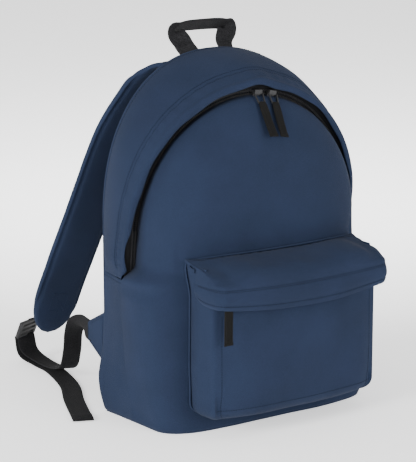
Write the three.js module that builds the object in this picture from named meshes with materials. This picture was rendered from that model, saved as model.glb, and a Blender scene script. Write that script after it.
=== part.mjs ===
// School backpack. Millimetres, +Z up, the front faces -Y, +X is the viewer's right from the front.
// The origin is the centre of the base, on the surface that the bag stands on.
import * as THREE from 'three'

// Body
const HEIGHT = 420
const BASE_HALF_WIDTH = 153
const HALF_WIDTH = 163
const BACK_HALF_WIDTH = 154
const BACK_Y = 57.6
const BASE_DEPTH_FRONT = 75
const FRONT_DEPTH = 79
const FULL_DEPTH_Z = 120
const FABRIC = 2.5
const GAP = 0.4
const BASE_THICKNESS = 3
const BOTTOM_INSET = 5
const BOTTOM_ROUNDING = 10
const BACK_PANEL_THICKNESS = 3
const BACK_FOAM = 6
const LINING_THICKNESS = 1.4
const LINING_INSET = 5
const LINING_BOTTOM_Z = 14
const ANCHOR_BAND_HALF_WIDTH = 84
const GUSSET_BULGE = 5

// Zip arch: a half circle with straight legs, in a plane that leans back slightly
const ARCH_CENTRE_Z = 228
const ARCH_TOP_Z = 390
const ARCH_TOP_Y = -18
const ARCH_END_Y = 5
const ARCH_END_Z = 172.4
const ARCH_LEG = 55
const ZIP_RADIUS = 148.5
const CHAIN_GAP = 1.2
const CHAIN_WIDTH = 2.2
const TAPE_WIDTH = 7.6
const TAPE_THICKNESS = 1
const CHAIN_THICKNESS = 2.6
const FLAP_EDGE_RADIUS = 142.5
const FOLD_Z = 225

// Zip pulls: each slider's place on the arch in degrees from the top, and how the pulls hang
const SLIDER_PLACES = [['left', 3], ['right', 11]]
const SLIDER_HALF_LENGTH = 5
const MAIN_PULL_TILT = THREE.MathUtils.degToRad(44)
const POCKET_PULL_TILT = THREE.MathUtils.degToRad(1)
const LINK_THICKNESS = 1.4
const LINK_HALF_WIDTH = 7.2
const LINK_FOOT_HALF_WIDTH = 5
const LINK_LENGTH = 16
const LINK_BAR = 1.5
const TAB_TOP = 17.6
const TAB_LENGTH = 42
const TAB_HALF_WIDTH = 5.5
const TAB_HALF_THICKNESS = 1

// Front pocket
const POCKET_HALF_WIDTH = 115
const POCKET_BOTTOM_Z = 22
const POCKET_TOP_Z = 198
const POCKET_FRONT_Y = -117
const POCKET_CORNER = 16
const POCKET_PANEL_TOP_Z = 163
const POCKET_ZIP_Z = 174
const POCKET_ZIP_HALF = 112
const POCKET_SLIDER_X = 105
const POCKET_PANEL_BULGE = 3
const PIPING_RADIUS = 1.2
const HOOD_HALF_WIDTH = 117
const HOOD_STITCH_Z = 187
const HOOD_EDGE_Z = 160

// Handle, straps and their webbing
const WEBBING_WIDTH = 25
const WEBBING_THICKNESS = 2
const HANDLE_Y = 76
const HANDLE_Z = 421
const HANDLE_LEAN = THREE.MathUtils.degToRad(26)
const FREE_WEBBING_THICKNESS = 1.6
const STRAP_WIDTH = 66
const STRAP_THICKNESS = 10
const ANCHOR_TAB_THICKNESS = 2.4
const LOCK_THICKNESS = 4

const NAVY = new THREE.MeshStandardMaterial({ color: 0x2b3d5e, roughness: 0.85, metalness: 0 })
const BLACK_WEB = new THREE.MeshStandardMaterial({ color: 0x1c1d20, roughness: 0.9, metalness: 0 })
const BLACK_PLASTIC = new THREE.MeshStandardMaterial({ color: 0x151619, roughness: 0.45, metalness: 0 })
const METAL = new THREE.MeshStandardMaterial({ color: 0x55585e, roughness: 0.35, metalness: 0.9 })
const FOAM = new THREE.MeshStandardMaterial({ color: 0xc9c9c4, roughness: 0.95, metalness: 0 })

const bag = new THREE.Group()

function add(name, geometry, material, parent = bag) {
  const mesh = new THREE.Mesh(geometry, material)
  mesh.name = name
  parent.add(mesh)
  return mesh
}

// ---------------------------------------------------------------- solid builders

// A sheet of even thickness: surface(u, v) is its outer face, and the other face lies behind it.
function slab(surface, columns, rows, thickness = FABRIC) {
  const step = 1e-4
  const positions = []
  for (const depth of [0, thickness]) {
    for (let j = 0; j <= rows; j += 1) {
      for (let i = 0; i <= columns; i += 1) {
        const u = i / columns
        const v = j / rows
        const alongU = surface(Math.min(u + step, 1), v).sub(surface(Math.max(u - step, 0), v))
        const alongV = surface(u, Math.min(v + step, 1)).sub(surface(u, Math.max(v - step, 0)))
        const normal = alongU.cross(alongV).normalize()
        positions.push(...surface(u, v).addScaledVector(normal, -depth).toArray())
      }
    }
  }
  const layer = (columns + 1) * (rows + 1)
  const at = (side, i, j) => side * layer + j * (columns + 1) + i
  const triangles = []
  const quad = (a, b, c, d) => triangles.push(a, b, c, a, c, d)
  for (let j = 0; j < rows; j += 1) {
    for (let i = 0; i < columns; i += 1) {
      quad(at(0, i, j), at(0, i + 1, j), at(0, i + 1, j + 1), at(0, i, j + 1))
      quad(at(1, i, j), at(1, i, j + 1), at(1, i + 1, j + 1), at(1, i + 1, j))
    }
  }
  for (let i = 0; i < columns; i += 1) {
    quad(at(0, i, 0), at(1, i, 0), at(1, i + 1, 0), at(0, i + 1, 0))
    quad(at(0, i + 1, rows), at(1, i + 1, rows), at(1, i, rows), at(0, i, rows))
  }
  for (let j = 0; j < rows; j += 1) {
    quad(at(0, 0, j + 1), at(1, 0, j + 1), at(1, 0, j), at(0, 0, j))
    quad(at(0, columns, j), at(1, columns, j), at(1, columns, j + 1), at(0, columns, j + 1))
  }
  const geometry = new THREE.BufferGeometry()
  geometry.setAttribute('position', new THREE.Float32BufferAttribute(positions, 3))
  geometry.setIndex(triangles)
  return geometry
}

// A flat strip of webbing or a strap: a centre line, and the way its width points.
function strip(points, widthAlong, width, thickness, steps) {
  const line = new THREE.CatmullRomCurve3(points.map((p) => new THREE.Vector3(...p)), false, 'centripetal')
  const across = new THREE.Vector3(...widthAlong).normalize().multiplyScalar(width)
  const surface = (u, v) => line.getPoint(v).addScaledVector(across, u - 0.5)
  return slab(surface, 2, steps, thickness)
}

function box(x0, x1, y0, y1, z0, z1) {
  const geometry = new THREE.BoxGeometry(x1 - x0, y1 - y0, z1 - z0)
  return geometry.translate((x0 + x1) / 2, (y0 + y1) / 2, (z0 + z1) / 2)
}

// A closed outline in X and Z, given as [x, z], made solid from y0 to y1.
function plate(outline, y0, y1) {
  const shape = new THREE.Shape(outline.map(([x, z]) => new THREE.Vector2(x, z)))
  const geometry = new THREE.ExtrudeGeometry(shape, { depth: y1 - y0, bevelEnabled: false })
  return geometry.rotateX(Math.PI / 2).translate(0, y1, 0)
}

// ---------------------------------------------------------------- shapes of the bag

const signedPower = (value, power) => Math.sign(value) * Math.abs(value) ** power

// A leg, a superellipse arch and a second leg, for u from 0 at the left foot to 1 at the right foot.
const LEG_SHARE = 0.16
function arch(u, halfWidth, rise, exponent, footZ) {
  if (u <= LEG_SHARE) {
    return [-halfWidth, THREE.MathUtils.lerp(footZ, ARCH_CENTRE_Z, u / LEG_SHARE)]
  }
  if (u >= 1 - LEG_SHARE) {
    return [halfWidth, THREE.MathUtils.lerp(footZ, ARCH_CENTRE_Z, (1 - u) / LEG_SHARE)]
  }
  const angle = Math.PI * (1 - (u - LEG_SHARE) / (1 - 2 * LEG_SHARE))
  const x = halfWidth * signedPower(Math.cos(angle), 2 / exponent)
  return [x, ARCH_CENTRE_Z + rise * signedPower(Math.sin(angle), 2 / exponent)]
}

const BACK_EXPONENT = 2.25
const backArch = (u, inset) => arch(
  u, BACK_HALF_WIDTH - inset, HEIGHT - ARCH_CENTRE_Z - inset, BACK_EXPONENT, ARCH_END_Z)

// The y of the plane that the zip lies in
const ARCH_SLOPE = (ARCH_TOP_Y - ARCH_END_Y) / (ARCH_TOP_Z - ARCH_END_Z)
const archY = (z) => ARCH_END_Y + ARCH_SLOPE * Math.max(z - ARCH_END_Z, 0)

// How far the front panel stands in front of the zip's plane, up its middle
const FLAP_TOP_Z = ARCH_CENTRE_Z + FLAP_EDGE_RADIUS
function middleDepth(z) {
  if (z <= ARCH_END_Z) {
    const swell = Math.sin(Math.min(z / FULL_DEPTH_Z, 1) * Math.PI / 2)
    return THREE.MathUtils.lerp(BASE_DEPTH_FRONT, FRONT_DEPTH, swell)
  }
  const share = Math.min((z - ARCH_END_Z) / (FLAP_TOP_Z - ARCH_END_Z), 1)
  return FRONT_DEPTH * (1 - share ** 1.6) ** 0.75
}

const lowerHalfWidth = (z) => THREE.MathUtils.lerp(
  BASE_HALF_WIDTH, HALF_WIDTH, Math.sin(Math.min(z / ARCH_END_Z, 1) * Math.PI / 2))

const FRONT_EXPONENT = 2.7
function frontY(x, z, halfWidth, exponent = FRONT_EXPONENT) {
  const share = Math.min(Math.abs(x) / halfWidth, 1)
  return archY(z) - middleDepth(z) * (1 - share ** exponent) ** (1 / exponent)
}

// Plan outline of the lower body, from the left back edge round the front to the right back edge
const SIDE_SHARE = 0.22
const CORNER_EXPONENT = 3.2
function planPoint(u, z, inset = 0) {
  const half = lowerHalfWidth(z) - inset
  const depth = middleDepth(z) - inset
  if (u < SIDE_SHARE || u > 1 - SIDE_SHARE) {
    const share = Math.min(u, 1 - u) / SIDE_SHARE
    const y = THREE.MathUtils.lerp(BACK_Y - inset / 2, ARCH_END_Y, share)
    return new THREE.Vector3(u < 0.5 ? -half : half, y, z)
  }
  const angle = Math.PI * (1 - (u - SIDE_SHARE) / (1 - 2 * SIDE_SHARE))
  const power = 2 / CORNER_EXPONENT
  const x = half * signedPower(Math.cos(angle), power)
  return new THREE.Vector3(x, ARCH_END_Y - depth * signedPower(Math.sin(angle), power), z)
}

// ---------------------------------------------------------------- main body

function backOutline(inset, bottomZ) {
  const points = []
  const steps = 40
  const foot = BASE_HALF_WIDTH - inset
  points.push([-foot, bottomZ])
  for (let i = 0; i <= steps; i += 1) points.push(backArch(i / steps, inset))
  points.push([foot, bottomZ])
  return points.reverse()
}

function addBack() {
  add('back_panel', plate(backOutline(0, 0), BACK_Y + GAP, BACK_Y + GAP + BACK_PANEL_THICKNESS), NAVY)
  const inner = backOutline(LINING_INSET, LINING_BOTTOM_Z)
  const foamFront = BACK_Y - BACK_FOAM
  add('back_foam_pad', plate(inner, foamFront, BACK_Y), FOAM)
  add('back_lining', plate(inner, foamFront - GAP - LINING_THICKNESS, foamFront - GAP), NAVY)
  const bandY = BACK_Y + BACK_PANEL_THICKNESS + 2 * GAP
  const half = ANCHOR_BAND_HALF_WIDTH
  add('strap_anchor_band', box(-half, half, bandY, bandY + FABRIC, 376, 391), NAVY)
}

function addLowerBody() {
  const bottomZ = BASE_THICKNESS + GAP
  const top = ARCH_END_Z - GAP
  const wrap = (u, v) => {
    const z = THREE.MathUtils.lerp(bottomZ, top, v ** 1.4)
    const turn = Math.min((z - bottomZ) / BOTTOM_ROUNDING, 1)
    return planPoint(u, z, BOTTOM_INSET * (1 - Math.sin(turn * Math.PI / 2)))
  }
  add('lower_body_wrap', slab(wrap, 56, 10), NAVY)

  const outline = []
  for (let i = 0; i <= 40; i += 1) {
    const point = planPoint(i / 40, BASE_THICKNESS, BOTTOM_INSET + 1)
    outline.push([point.x, point.y])
  }
  const shape = new THREE.Shape(outline.map(([x, y]) => new THREE.Vector2(x, y)))
  const base = new THREE.ExtrudeGeometry(shape, { depth: BASE_THICKNESS, bevelEnabled: false })
  add('base_panel', base, NAVY)
  const board = new THREE.ExtrudeGeometry(
    new THREE.Shape(outline.map(([x, y]) => new THREE.Vector2(x * 0.95, y * 0.88))),
    { depth: 3, bevelEnabled: false })
  add('base_stiffener', board.translate(0, 0, BASE_THICKNESS + GAP), FOAM)
}

function addGusset() {
  const gusset = (u, v) => {
    const [lipX, lipZ] = arch(u, HALF_WIDTH, ARCH_TOP_Z - ARCH_CENTRE_Z, 2, ARCH_END_Z)
    const [backX, backZ] = backArch(u, 0)
    const lip = new THREE.Vector3(lipX, archY(lipZ), lipZ)
    const back = new THREE.Vector3(backX, BACK_Y, backZ)
    const out = new THREE.Vector3(lipX, 0, Math.max(lipZ - ARCH_CENTRE_Z, 0)).normalize()
    return lip.lerp(back, v).addScaledVector(out, GUSSET_BULGE * 4 * v * (1 - v))
  }
  add('top_gusset', slab(gusset, 56, 5), NAVY)
}

function addFrontPanel() {
  const edge = FLAP_EDGE_RADIUS
  const fold = (u, v) => {
    const x = -edge * Math.cos(u * Math.PI)
    const z = THREE.MathUtils.lerp(ARCH_END_Z, FOLD_Z - GAP, v)
    return new THREE.Vector3(x, frontY(x, z, edge), z)
  }
  add('front_fold', slab(fold, 28, 4), NAVY)

  const flap = (u, v) => {
    const x = -edge * Math.cos(u * Math.PI)
    const top = ARCH_CENTRE_Z + Math.sqrt(Math.max(edge ** 2 - x ** 2, 0))
    const z = THREE.MathUtils.lerp(FOLD_Z, top, v)
    const half = z > ARCH_CENTRE_Z ? Math.sqrt(Math.max(edge ** 2 - (z - ARCH_CENTRE_Z) ** 2, 1)) : edge
    return new THREE.Vector3(x, frontY(x, z, half), z)
  }
  add('front_flap', slab(flap, 28, 12), NAVY)
}

// ---------------------------------------------------------------- zips

// Local axes of a zip: X along it, Y across it, Z out of the bag.
function archBand(inner, outer, out0, out1) {
  const shape = new THREE.Shape()
  shape.moveTo(outer, -ARCH_LEG)
  shape.lineTo(outer, 0)
  shape.absarc(0, 0, outer, 0, Math.PI, false)
  shape.lineTo(-outer, -ARCH_LEG)
  shape.lineTo(-inner, -ARCH_LEG)
  shape.lineTo(-inner, 0)
  shape.absarc(0, 0, inner, Math.PI, 0, true)
  shape.lineTo(inner, -ARCH_LEG)
  const geometry = new THREE.ExtrudeGeometry(
    shape, { depth: out1 - out0, bevelEnabled: false, curveSegments: 36 })
  return geometry.translate(0, 0, out0)
}

const CHAIN_NEAR = CHAIN_GAP / 2
const CHAIN_FAR = CHAIN_NEAR + CHAIN_WIDTH
const TAPE_NEAR = CHAIN_FAR + GAP
const TAPE_FAR = TAPE_NEAR + TAPE_WIDTH

// A slider's section, given as [across, out], pushed along the zip.
function zipPull(names, group, tilt) {
  const [sliderName, linkName, tabName] = names
  const half = SLIDER_HALF_LENGTH
  const section = [
    [-CHAIN_FAR - 1, 0.4], [-0.3, 0.4], [-0.3, -CHAIN_THICKNESS - GAP],
    [-CHAIN_FAR, -CHAIN_THICKNESS - GAP],
    [-CHAIN_FAR, -CHAIN_THICKNESS - 2], [0.3, -CHAIN_THICKNESS - 2], [0.3, 0.4], [CHAIN_FAR + 1, 0.4],
    [CHAIN_FAR + 1, 5.6], [-1.2, 5.6], [-1.2, 4.6], [2.6, 4.6], [2.6, 2.2], [-CHAIN_FAR - 1, 2.2],
  ]
  const shape = new THREE.Shape(section.map(([y, z]) => new THREE.Vector2(y, z)))
  const slider = new THREE.ExtrudeGeometry(shape, { depth: 2 * half, bevelEnabled: false })
  slider.applyMatrix4(new THREE.Matrix4().makeBasis(
    new THREE.Vector3(0, 1, 0), new THREE.Vector3(0, 0, 1), new THREE.Vector3(1, 0, 0)))
  add(sliderName, slider.translate(-half, 0, 0), METAL, group)

  // The link hangs from the slider's hook, and the tab from the link.
  const hang = new THREE.Group()
  hang.position.set(0, 1.6, 3.4)
  hang.rotation.x = -tilt
  group.add(hang)
  const link = new THREE.Shape()
  const thick = LINK_THICKNESS
  link.moveTo(-LINK_HALF_WIDTH, thick / 2)
  link.lineTo(-LINK_FOOT_HALF_WIDTH, -LINK_LENGTH)
  link.lineTo(LINK_FOOT_HALF_WIDTH, -LINK_LENGTH)
  link.lineTo(LINK_HALF_WIDTH, thick / 2)
  const window = new THREE.Path()
  window.moveTo(-LINK_HALF_WIDTH + LINK_BAR, -thick / 2)
  window.lineTo(LINK_HALF_WIDTH - LINK_BAR, -thick / 2)
  window.lineTo(LINK_FOOT_HALF_WIDTH - LINK_BAR, -LINK_LENGTH + 2)
  window.lineTo(-LINK_FOOT_HALF_WIDTH + LINK_BAR, -LINK_LENGTH + 2)
  link.holes.push(window)
  const ring = new THREE.ExtrudeGeometry(link, { depth: thick, bevelEnabled: false })
  add(linkName, ring.translate(0, 0, -thick / 2), METAL, hang)
  const tab = box(-TAB_HALF_WIDTH, TAB_HALF_WIDTH, -TAB_TOP - TAB_LENGTH, -TAB_TOP,
    -TAB_HALF_THICKNESS, TAB_HALF_THICKNESS)
  add(tabName, tab, BLACK_WEB, hang)
}

function addMainZip() {
  const frame = new THREE.Group()
  frame.position.set(0, archY(ARCH_CENTRE_Z), ARCH_CENTRE_Z)
  frame.rotation.x = Math.atan2(ARCH_TOP_Z - ARCH_END_Z, ARCH_TOP_Y - ARCH_END_Y)
  bag.add(frame)
  const tape = [-CHAIN_THICKNESS - TAPE_THICKNESS, -CHAIN_THICKNESS]
  const band = (near, far) => archBand(ZIP_RADIUS + near, ZIP_RADIUS + far, ...tape)
  add('zip_tape_outer', band(TAPE_NEAR, TAPE_FAR), BLACK_WEB, frame)
  add('zip_tape_inner', band(-TAPE_FAR, -TAPE_NEAR), BLACK_WEB, frame)
  const chain = (near, far) => archBand(ZIP_RADIUS + near, ZIP_RADIUS + far, -CHAIN_THICKNESS, 0)
  add('zip_teeth_outer', chain(CHAIN_NEAR, CHAIN_FAR), BLACK_PLASTIC, frame)
  add('zip_teeth_inner', chain(-CHAIN_FAR, -CHAIN_NEAR), BLACK_PLASTIC, frame)
  for (const [side, degrees] of SLIDER_PLACES) {
    const turn = new THREE.Group()
    turn.rotation.z = -THREE.MathUtils.degToRad(degrees)
    frame.add(turn)
    const seat = new THREE.Group()
    seat.position.y = ZIP_RADIUS
    turn.add(seat)
    const names = [`zip_slider_${side}`, `zip_pull_link_${side}`, `zip_pull_tab_${side}`]
    zipPull(names, seat, MAIN_PULL_TILT)
  }
}

// ---------------------------------------------------------------- front pocket

function addPocket() {
  const corner = POCKET_CORNER
  const sideRun = POCKET_TOP_Z - POCKET_BOTTOM_Z - corner
  const bottomRun = 2 * (POCKET_HALF_WIDTH - corner)
  const arc = corner * Math.PI / 2
  const total = 2 * sideRun + 2 * arc + bottomRun
  const path = (u) => {
    const mirrored = u > 0.5
    let run = (mirrored ? 1 - u : u) * total
    let x = -POCKET_HALF_WIDTH
    let z = POCKET_TOP_Z - run
    if (run > sideRun) {
      run -= sideRun
      const angle = Math.min(run / arc, 1) * Math.PI / 2
      x = -POCKET_HALF_WIDTH + corner - corner * Math.cos(angle)
      z = POCKET_BOTTOM_Z + corner - corner * Math.sin(angle)
      x += Math.max(run - arc, 0)
    }
    return [mirrored ? -x : x, z]
  }
  const gusset = (u, v) => {
    const [x, z] = path(u)
    const half = lowerHalfWidth(z)
    const back = Math.min(frontY(x, z, half, CORNER_EXPONENT), -60) - GAP
    return new THREE.Vector3(x, THREE.MathUtils.lerp(back - 0.6, POCKET_FRONT_Y + GAP, v), z)
  }
  add('pocket_gusset', slab(gusset, 44, 3), NAVY)

  const front = (u, v) => {
    const x = THREE.MathUtils.lerp(-POCKET_HALF_WIDTH, POCKET_HALF_WIDTH, u)
    const past = Math.max(0, (Math.abs(x) - POCKET_HALF_WIDTH + corner) / corner)
    const bottom = POCKET_BOTTOM_Z + corner * (1 - Math.sqrt(1 - past ** 2))
    const z = THREE.MathUtils.lerp(bottom, POCKET_PANEL_TOP_Z, v)
    const bulge = POCKET_PANEL_BULGE * Math.cos((u - 0.5) * Math.PI) * Math.sin(v * Math.PI)
    return new THREE.Vector3(x, POCKET_FRONT_Y - FABRIC - bulge, z)
  }
  add('pocket_front_panel', slab(front, 24, 8), NAVY)
}

function addPocketZip() {
  const halfLength = POCKET_ZIP_HALF
  const y = POCKET_FRONT_Y
  for (const [name, sign] of [['lower', -1], ['upper', 1]]) {
    const near = POCKET_ZIP_Z + sign * TAPE_NEAR
    const far = POCKET_ZIP_Z + sign * TAPE_FAR
    const low = Math.min(near, far)
    const high = Math.max(near, far)
    add(`pocket_zip_tape_${name}`, box(-halfLength, halfLength, y - 1, y, low, high), BLACK_WEB)
    const inner = POCKET_ZIP_Z + sign * CHAIN_NEAR
    const outer = POCKET_ZIP_Z + sign * CHAIN_FAR
    const teeth = box(-halfLength, halfLength, y - CHAIN_THICKNESS, y,
      Math.min(inner, outer), Math.max(inner, outer))
    add(`pocket_zip_teeth_${name}`, teeth, BLACK_PLASTIC)
  }
  const seat = new THREE.Group()
  seat.position.set(-POCKET_SLIDER_X, y - CHAIN_THICKNESS, POCKET_ZIP_Z)
  seat.rotation.x = Math.PI / 2
  bag.add(seat)
  zipPull(['pocket_slider', 'pocket_pull_link', 'pocket_pull_tab'], seat, POCKET_PULL_TILT)
}

function addHood() {
  const profile = [
    [-75.2, 201.2], [-85, 202.6], [-100, 203.4], [-112, 203], [-121, 200], [-126, 194],
    [-127.4, HOOD_STITCH_Z],
  ]
  const line = new THREE.CatmullRomCurve3(profile.map(([y, z]) => new THREE.Vector3(0, y, z)))
  const top = (u, v) => {
    const point = line.getPoint(1 - v)
    const x = THREE.MathUtils.lerp(-HOOD_HALF_WIDTH, HOOD_HALF_WIDTH, u)
    const wall = frontY(x, point.z, HALF_WIDTH, CORNER_EXPONENT) - GAP - 1
    return new THREE.Vector3(x, v > 0.99 ? Math.min(wall, -60) : point.y, point.z)
  }
  add('pocket_hood', slab(top, 16, 10, 2), NAVY)
  const storm = box(-HOOD_HALF_WIDTH, HOOD_HALF_WIDTH, -129.6, -127.6, HOOD_EDGE_Z, HOOD_STITCH_Z - 0.5)
  add('pocket_storm_flap', storm, NAVY)
  for (const [side, sign] of [['left', -1], ['right', 1]]) {
    const x = sign * (POCKET_HALF_WIDTH + 2)
    const points = [[x, -66, 196], [x, -68, 150], [x, -66, 90], [x, -63, 40]]
    const seam = new THREE.CatmullRomCurve3(points.map((p) => new THREE.Vector3(...p)))
    const round = new THREE.Shape().absarc(0, 0, PIPING_RADIUS, 0, 2 * Math.PI)
    const options = { steps: 8, extrudePath: seam, curveSegments: 3 }
    add(`pocket_piping_${side}`, new THREE.ExtrudeGeometry(round, options), NAVY)
  }
}

// ---------------------------------------------------------------- handle and straps

// The webbing leaves the back seam flat, and each leg twists a quarter turn to carry the bridge.
function addHandle() {
  const group = new THREE.Group()
  group.position.set(0, HANDLE_Y, HANDLE_Z)
  group.rotation.x = -HANDLE_LEAN
  bag.add(group)
  const half = [[-28, 0], [-31, 8], [-37, 16], [-36, 22.5], [-24, 25]]
  const points = [...half, [0, 25.5], ...half.map(([x, z]) => [-x, z]).reverse()]
  const places = points.map(([x, z]) => new THREE.Vector3(x, 0, z))
  const line = new THREE.CatmullRomCurve3(places, false, 'centripetal')
  const overBridge = new THREE.Vector3(0, 0.985, -0.17)
  const band = (u, v) => {
    const side = v < 0.5 ? 1 : -1
    const twist = THREE.MathUtils.smoothstep(Math.min(v, 1 - v), 0.17, 0.42)
    const across = new THREE.Vector3(0.95 * side, 0, 0.3).lerp(overBridge, twist).normalize()
    return line.getPoint(v).addScaledVector(across, WEBBING_WIDTH * (u - 0.5))
  }
  add('grab_handle', slab(band, 4, 40, WEBBING_THICKNESS), BLACK_WEB, group)
}

function addStrap(side, sign) {
  const route = [[-56, 79, 388], [-64, 104, 362], [-78, 143, 312], [-92, 178, 235],
    [-102, 216, 155], [-112, 246, 85], [-115, 256, 58]]
  const mirror = (points) => points.map(([x, y, z]) => [sign * x, y, z])
  add(`strap_pad_${side}`, strip(mirror(route), [-1, 0, 0], STRAP_WIDTH, STRAP_THICKNESS, 24), NAVY)

  const stub = [[-117, 268, 63], [-121.5, 274, 60.6], [-125, 279.2, 58.4]]
  const loop = strip(mirror(stub), [-1, 0, 0], WEBBING_WIDTH, WEBBING_THICKNESS, 6)
  add(`ladder_lock_loop_${side}`, loop, BLACK_WEB)

  const lock = new THREE.Group()
  lock.position.set(sign * -130, 289, 47)
  lock.rotation.order = 'ZXY'
  lock.rotation.set(THREE.MathUtils.degToRad(112), 0, sign * THREE.MathUtils.degToRad(25))
  bag.add(lock)
  const rim = [[-19, -11], [19, -11], [19, 11], [-19, 11]]
  const frame = new THREE.Shape(rim.map((p) => new THREE.Vector2(...p)))
  for (const z of [-6.5, 0, 6.5]) {
    const slot = [[-14, z - 1.8], [14, z - 1.8], [14, z + 1.8], [-14, z + 1.8]]
    frame.holes.push(new THREE.Path(slot.map((p) => new THREE.Vector2(...p))))
  }
  const plastic = new THREE.ExtrudeGeometry(frame, { depth: LOCK_THICKNESS, bevelEnabled: false })
  add(`ladder_lock_${side}`, plastic, BLACK_PLASTIC, lock)

  const adjuster = [[-130, 290, 33.6], [-127, 286, 16], [-121, 262, 6.5], [-122, 225, 7.5], [-130, 185, 20],
    [-137, 163, 46], [-141, 152, 72], [-145, 136, 88], [-149, 115, 92], [-150, 101, 89]]
  const thin = FREE_WEBBING_THICKNESS
  const held = strip(mirror(adjuster), [-1, 0, -0.12], WEBBING_WIDTH, thin, 28)
  add(`adjuster_webbing_${side}`, held, BLACK_WEB)
  const tail = [[-131, 294.5, 32], [-128, 292, 11], [-121, 266, 1.9], [-123, 228, 1.9], [-140, 165, 1.9],
    [-166, 110, 1.9], [-195, 40, 1.9]]
  add(`webbing_tail_${side}`, strip(mirror(tail), [-1, 0, 0], WEBBING_WIDTH, thin, 24), BLACK_WEB)

  const outline = [[0, 0], [34, -24], [36, -38], [0, -66]]
  const triangle = new THREE.Shape(outline.map((p) => new THREE.Vector2(...p)))
  const tab = new THREE.ExtrudeGeometry(triangle, { depth: ANCHOR_TAB_THICKNESS, bevelEnabled: false })
  tab.applyMatrix4(new THREE.Matrix4().makeBasis(
    new THREE.Vector3(0, 1, 0), new THREE.Vector3(0, 0, 1), new THREE.Vector3(1, 0, 0)))
  const outward = side === 'left' ? -BACK_HALF_WIDTH : BACK_HALF_WIDTH - ANCHOR_TAB_THICKNESS
  add(`anchor_tab_${side}`, tab.translate(outward, BACK_Y + 4, 122), NAVY)
}

addBack()
addLowerBody()
addGusset()
addFrontPanel()
addMainZip()
addPocket()
addPocketZip()
addHood()
addHandle()
addStrap('left', 1)
addStrap('right', -1)

export default bag
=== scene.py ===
"""A school backpack: its fabric shell, zips, webbing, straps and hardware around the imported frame."""
from contextlib import contextmanager
import math

import bmesh
import bpy
import numpy as np
from mathutils import Matrix, Vector, noise
from mathutils.bvhtree import BVHTree


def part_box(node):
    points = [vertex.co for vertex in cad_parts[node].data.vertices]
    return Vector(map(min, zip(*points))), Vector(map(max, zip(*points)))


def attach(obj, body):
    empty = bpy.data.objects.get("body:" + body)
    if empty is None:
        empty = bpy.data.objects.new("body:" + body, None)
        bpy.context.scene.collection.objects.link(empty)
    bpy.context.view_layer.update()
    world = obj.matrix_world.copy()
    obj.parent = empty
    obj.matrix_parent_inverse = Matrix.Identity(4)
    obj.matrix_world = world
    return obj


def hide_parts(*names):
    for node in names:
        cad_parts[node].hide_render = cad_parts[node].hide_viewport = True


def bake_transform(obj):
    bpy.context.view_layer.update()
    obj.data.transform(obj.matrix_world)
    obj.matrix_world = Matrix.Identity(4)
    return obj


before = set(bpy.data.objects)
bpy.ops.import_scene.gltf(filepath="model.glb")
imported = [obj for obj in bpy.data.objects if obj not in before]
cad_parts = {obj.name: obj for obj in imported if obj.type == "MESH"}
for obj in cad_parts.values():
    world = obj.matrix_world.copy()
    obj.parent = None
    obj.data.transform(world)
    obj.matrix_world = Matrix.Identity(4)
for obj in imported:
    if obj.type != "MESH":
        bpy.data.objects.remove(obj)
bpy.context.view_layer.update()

MM = 0.001

# ------------------------------------------------------------------ driving sizes, in metres
TOP_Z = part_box("back_panel")[1][2]
BACK_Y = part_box("lower_body_wrap")[1][1]
BACK_FACE_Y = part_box("back_panel")[1][1]
BACK_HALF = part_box("back_panel")[1][0]
BASE_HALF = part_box("base_panel")[1][0] + 6 * MM
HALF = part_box("lower_body_wrap")[1][0]
ARCH_Z = 228 * MM
ARCH_TOP = (-18 * MM, 390 * MM)
ARCH_END = (5 * MM, 172.4 * MM)
LIP_RADIUS = 163 * MM
ZIP_RADIUS = 148.5 * MM
HEM_RADIUS = 145.2 * MM
BASE_DEPTH = 76 * MM
FULL_DEPTH = 79 * MM
FABRIC = 1.4 * MM
POCKET_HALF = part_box("pocket_gusset")[1][0]
POCKET_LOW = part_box("pocket_gusset")[0][2]
POCKET_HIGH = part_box("pocket_gusset")[1][2]
POCKET_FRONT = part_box("pocket_front_panel")[1][1]
HOOD_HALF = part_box("pocket_storm_flap")[1][0]
STORM_FACE_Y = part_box("pocket_storm_flap")[0][1]
WEBBING_WIDTH = 25 * MM
STRAP_WIDTH = 66 * MM
SIDES = ((-1, "left"), (1, "right"))


# ------------------------------------------------------------------ materials
def principled(name, colour, roughness, metallic=0.0, sheen=0.0, specular=0.5):
    mat = bpy.data.materials.new(name)
    mat.use_nodes = True
    shader = mat.node_tree.nodes["Principled BSDF"]
    shader.inputs["Base Color"].default_value = (*colour, 1)
    shader.inputs["Roughness"].default_value = roughness
    shader.inputs["Metallic"].default_value = metallic
    shader.inputs["Sheen Weight"].default_value = sheen
    shader.inputs["Sheen Roughness"].default_value = 0.45
    shader.inputs["Specular IOR Level"].default_value = specular
    return mat, mat.node_tree, shader


def node(tree, kind, **values):
    made = tree.nodes.new(kind)
    for key, value in values.items():
        if key in made.inputs:
            made.inputs[key].default_value = value
        else:
            setattr(made, key, value)
    return made


def maths(tree, operation, a, b=None):
    made = node(tree, "ShaderNodeMath", operation=operation)
    for slot, value in enumerate((a, b)):
        if value is None:
            continue
        if isinstance(value, (int, float)):
            made.inputs[slot].default_value = value
        else:
            tree.links.new(value, made.inputs[slot])
    return made.outputs[0]


def ramp(tree, source, low, high, black, white):
    made = node(tree, "ShaderNodeMapRange")
    made.inputs["From Min"].default_value = low
    made.inputs["From Max"].default_value = high
    made.inputs["To Min"].default_value = black
    made.inputs["To Max"].default_value = white
    tree.links.new(source, made.inputs["Value"])
    return made.outputs[0]


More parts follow.
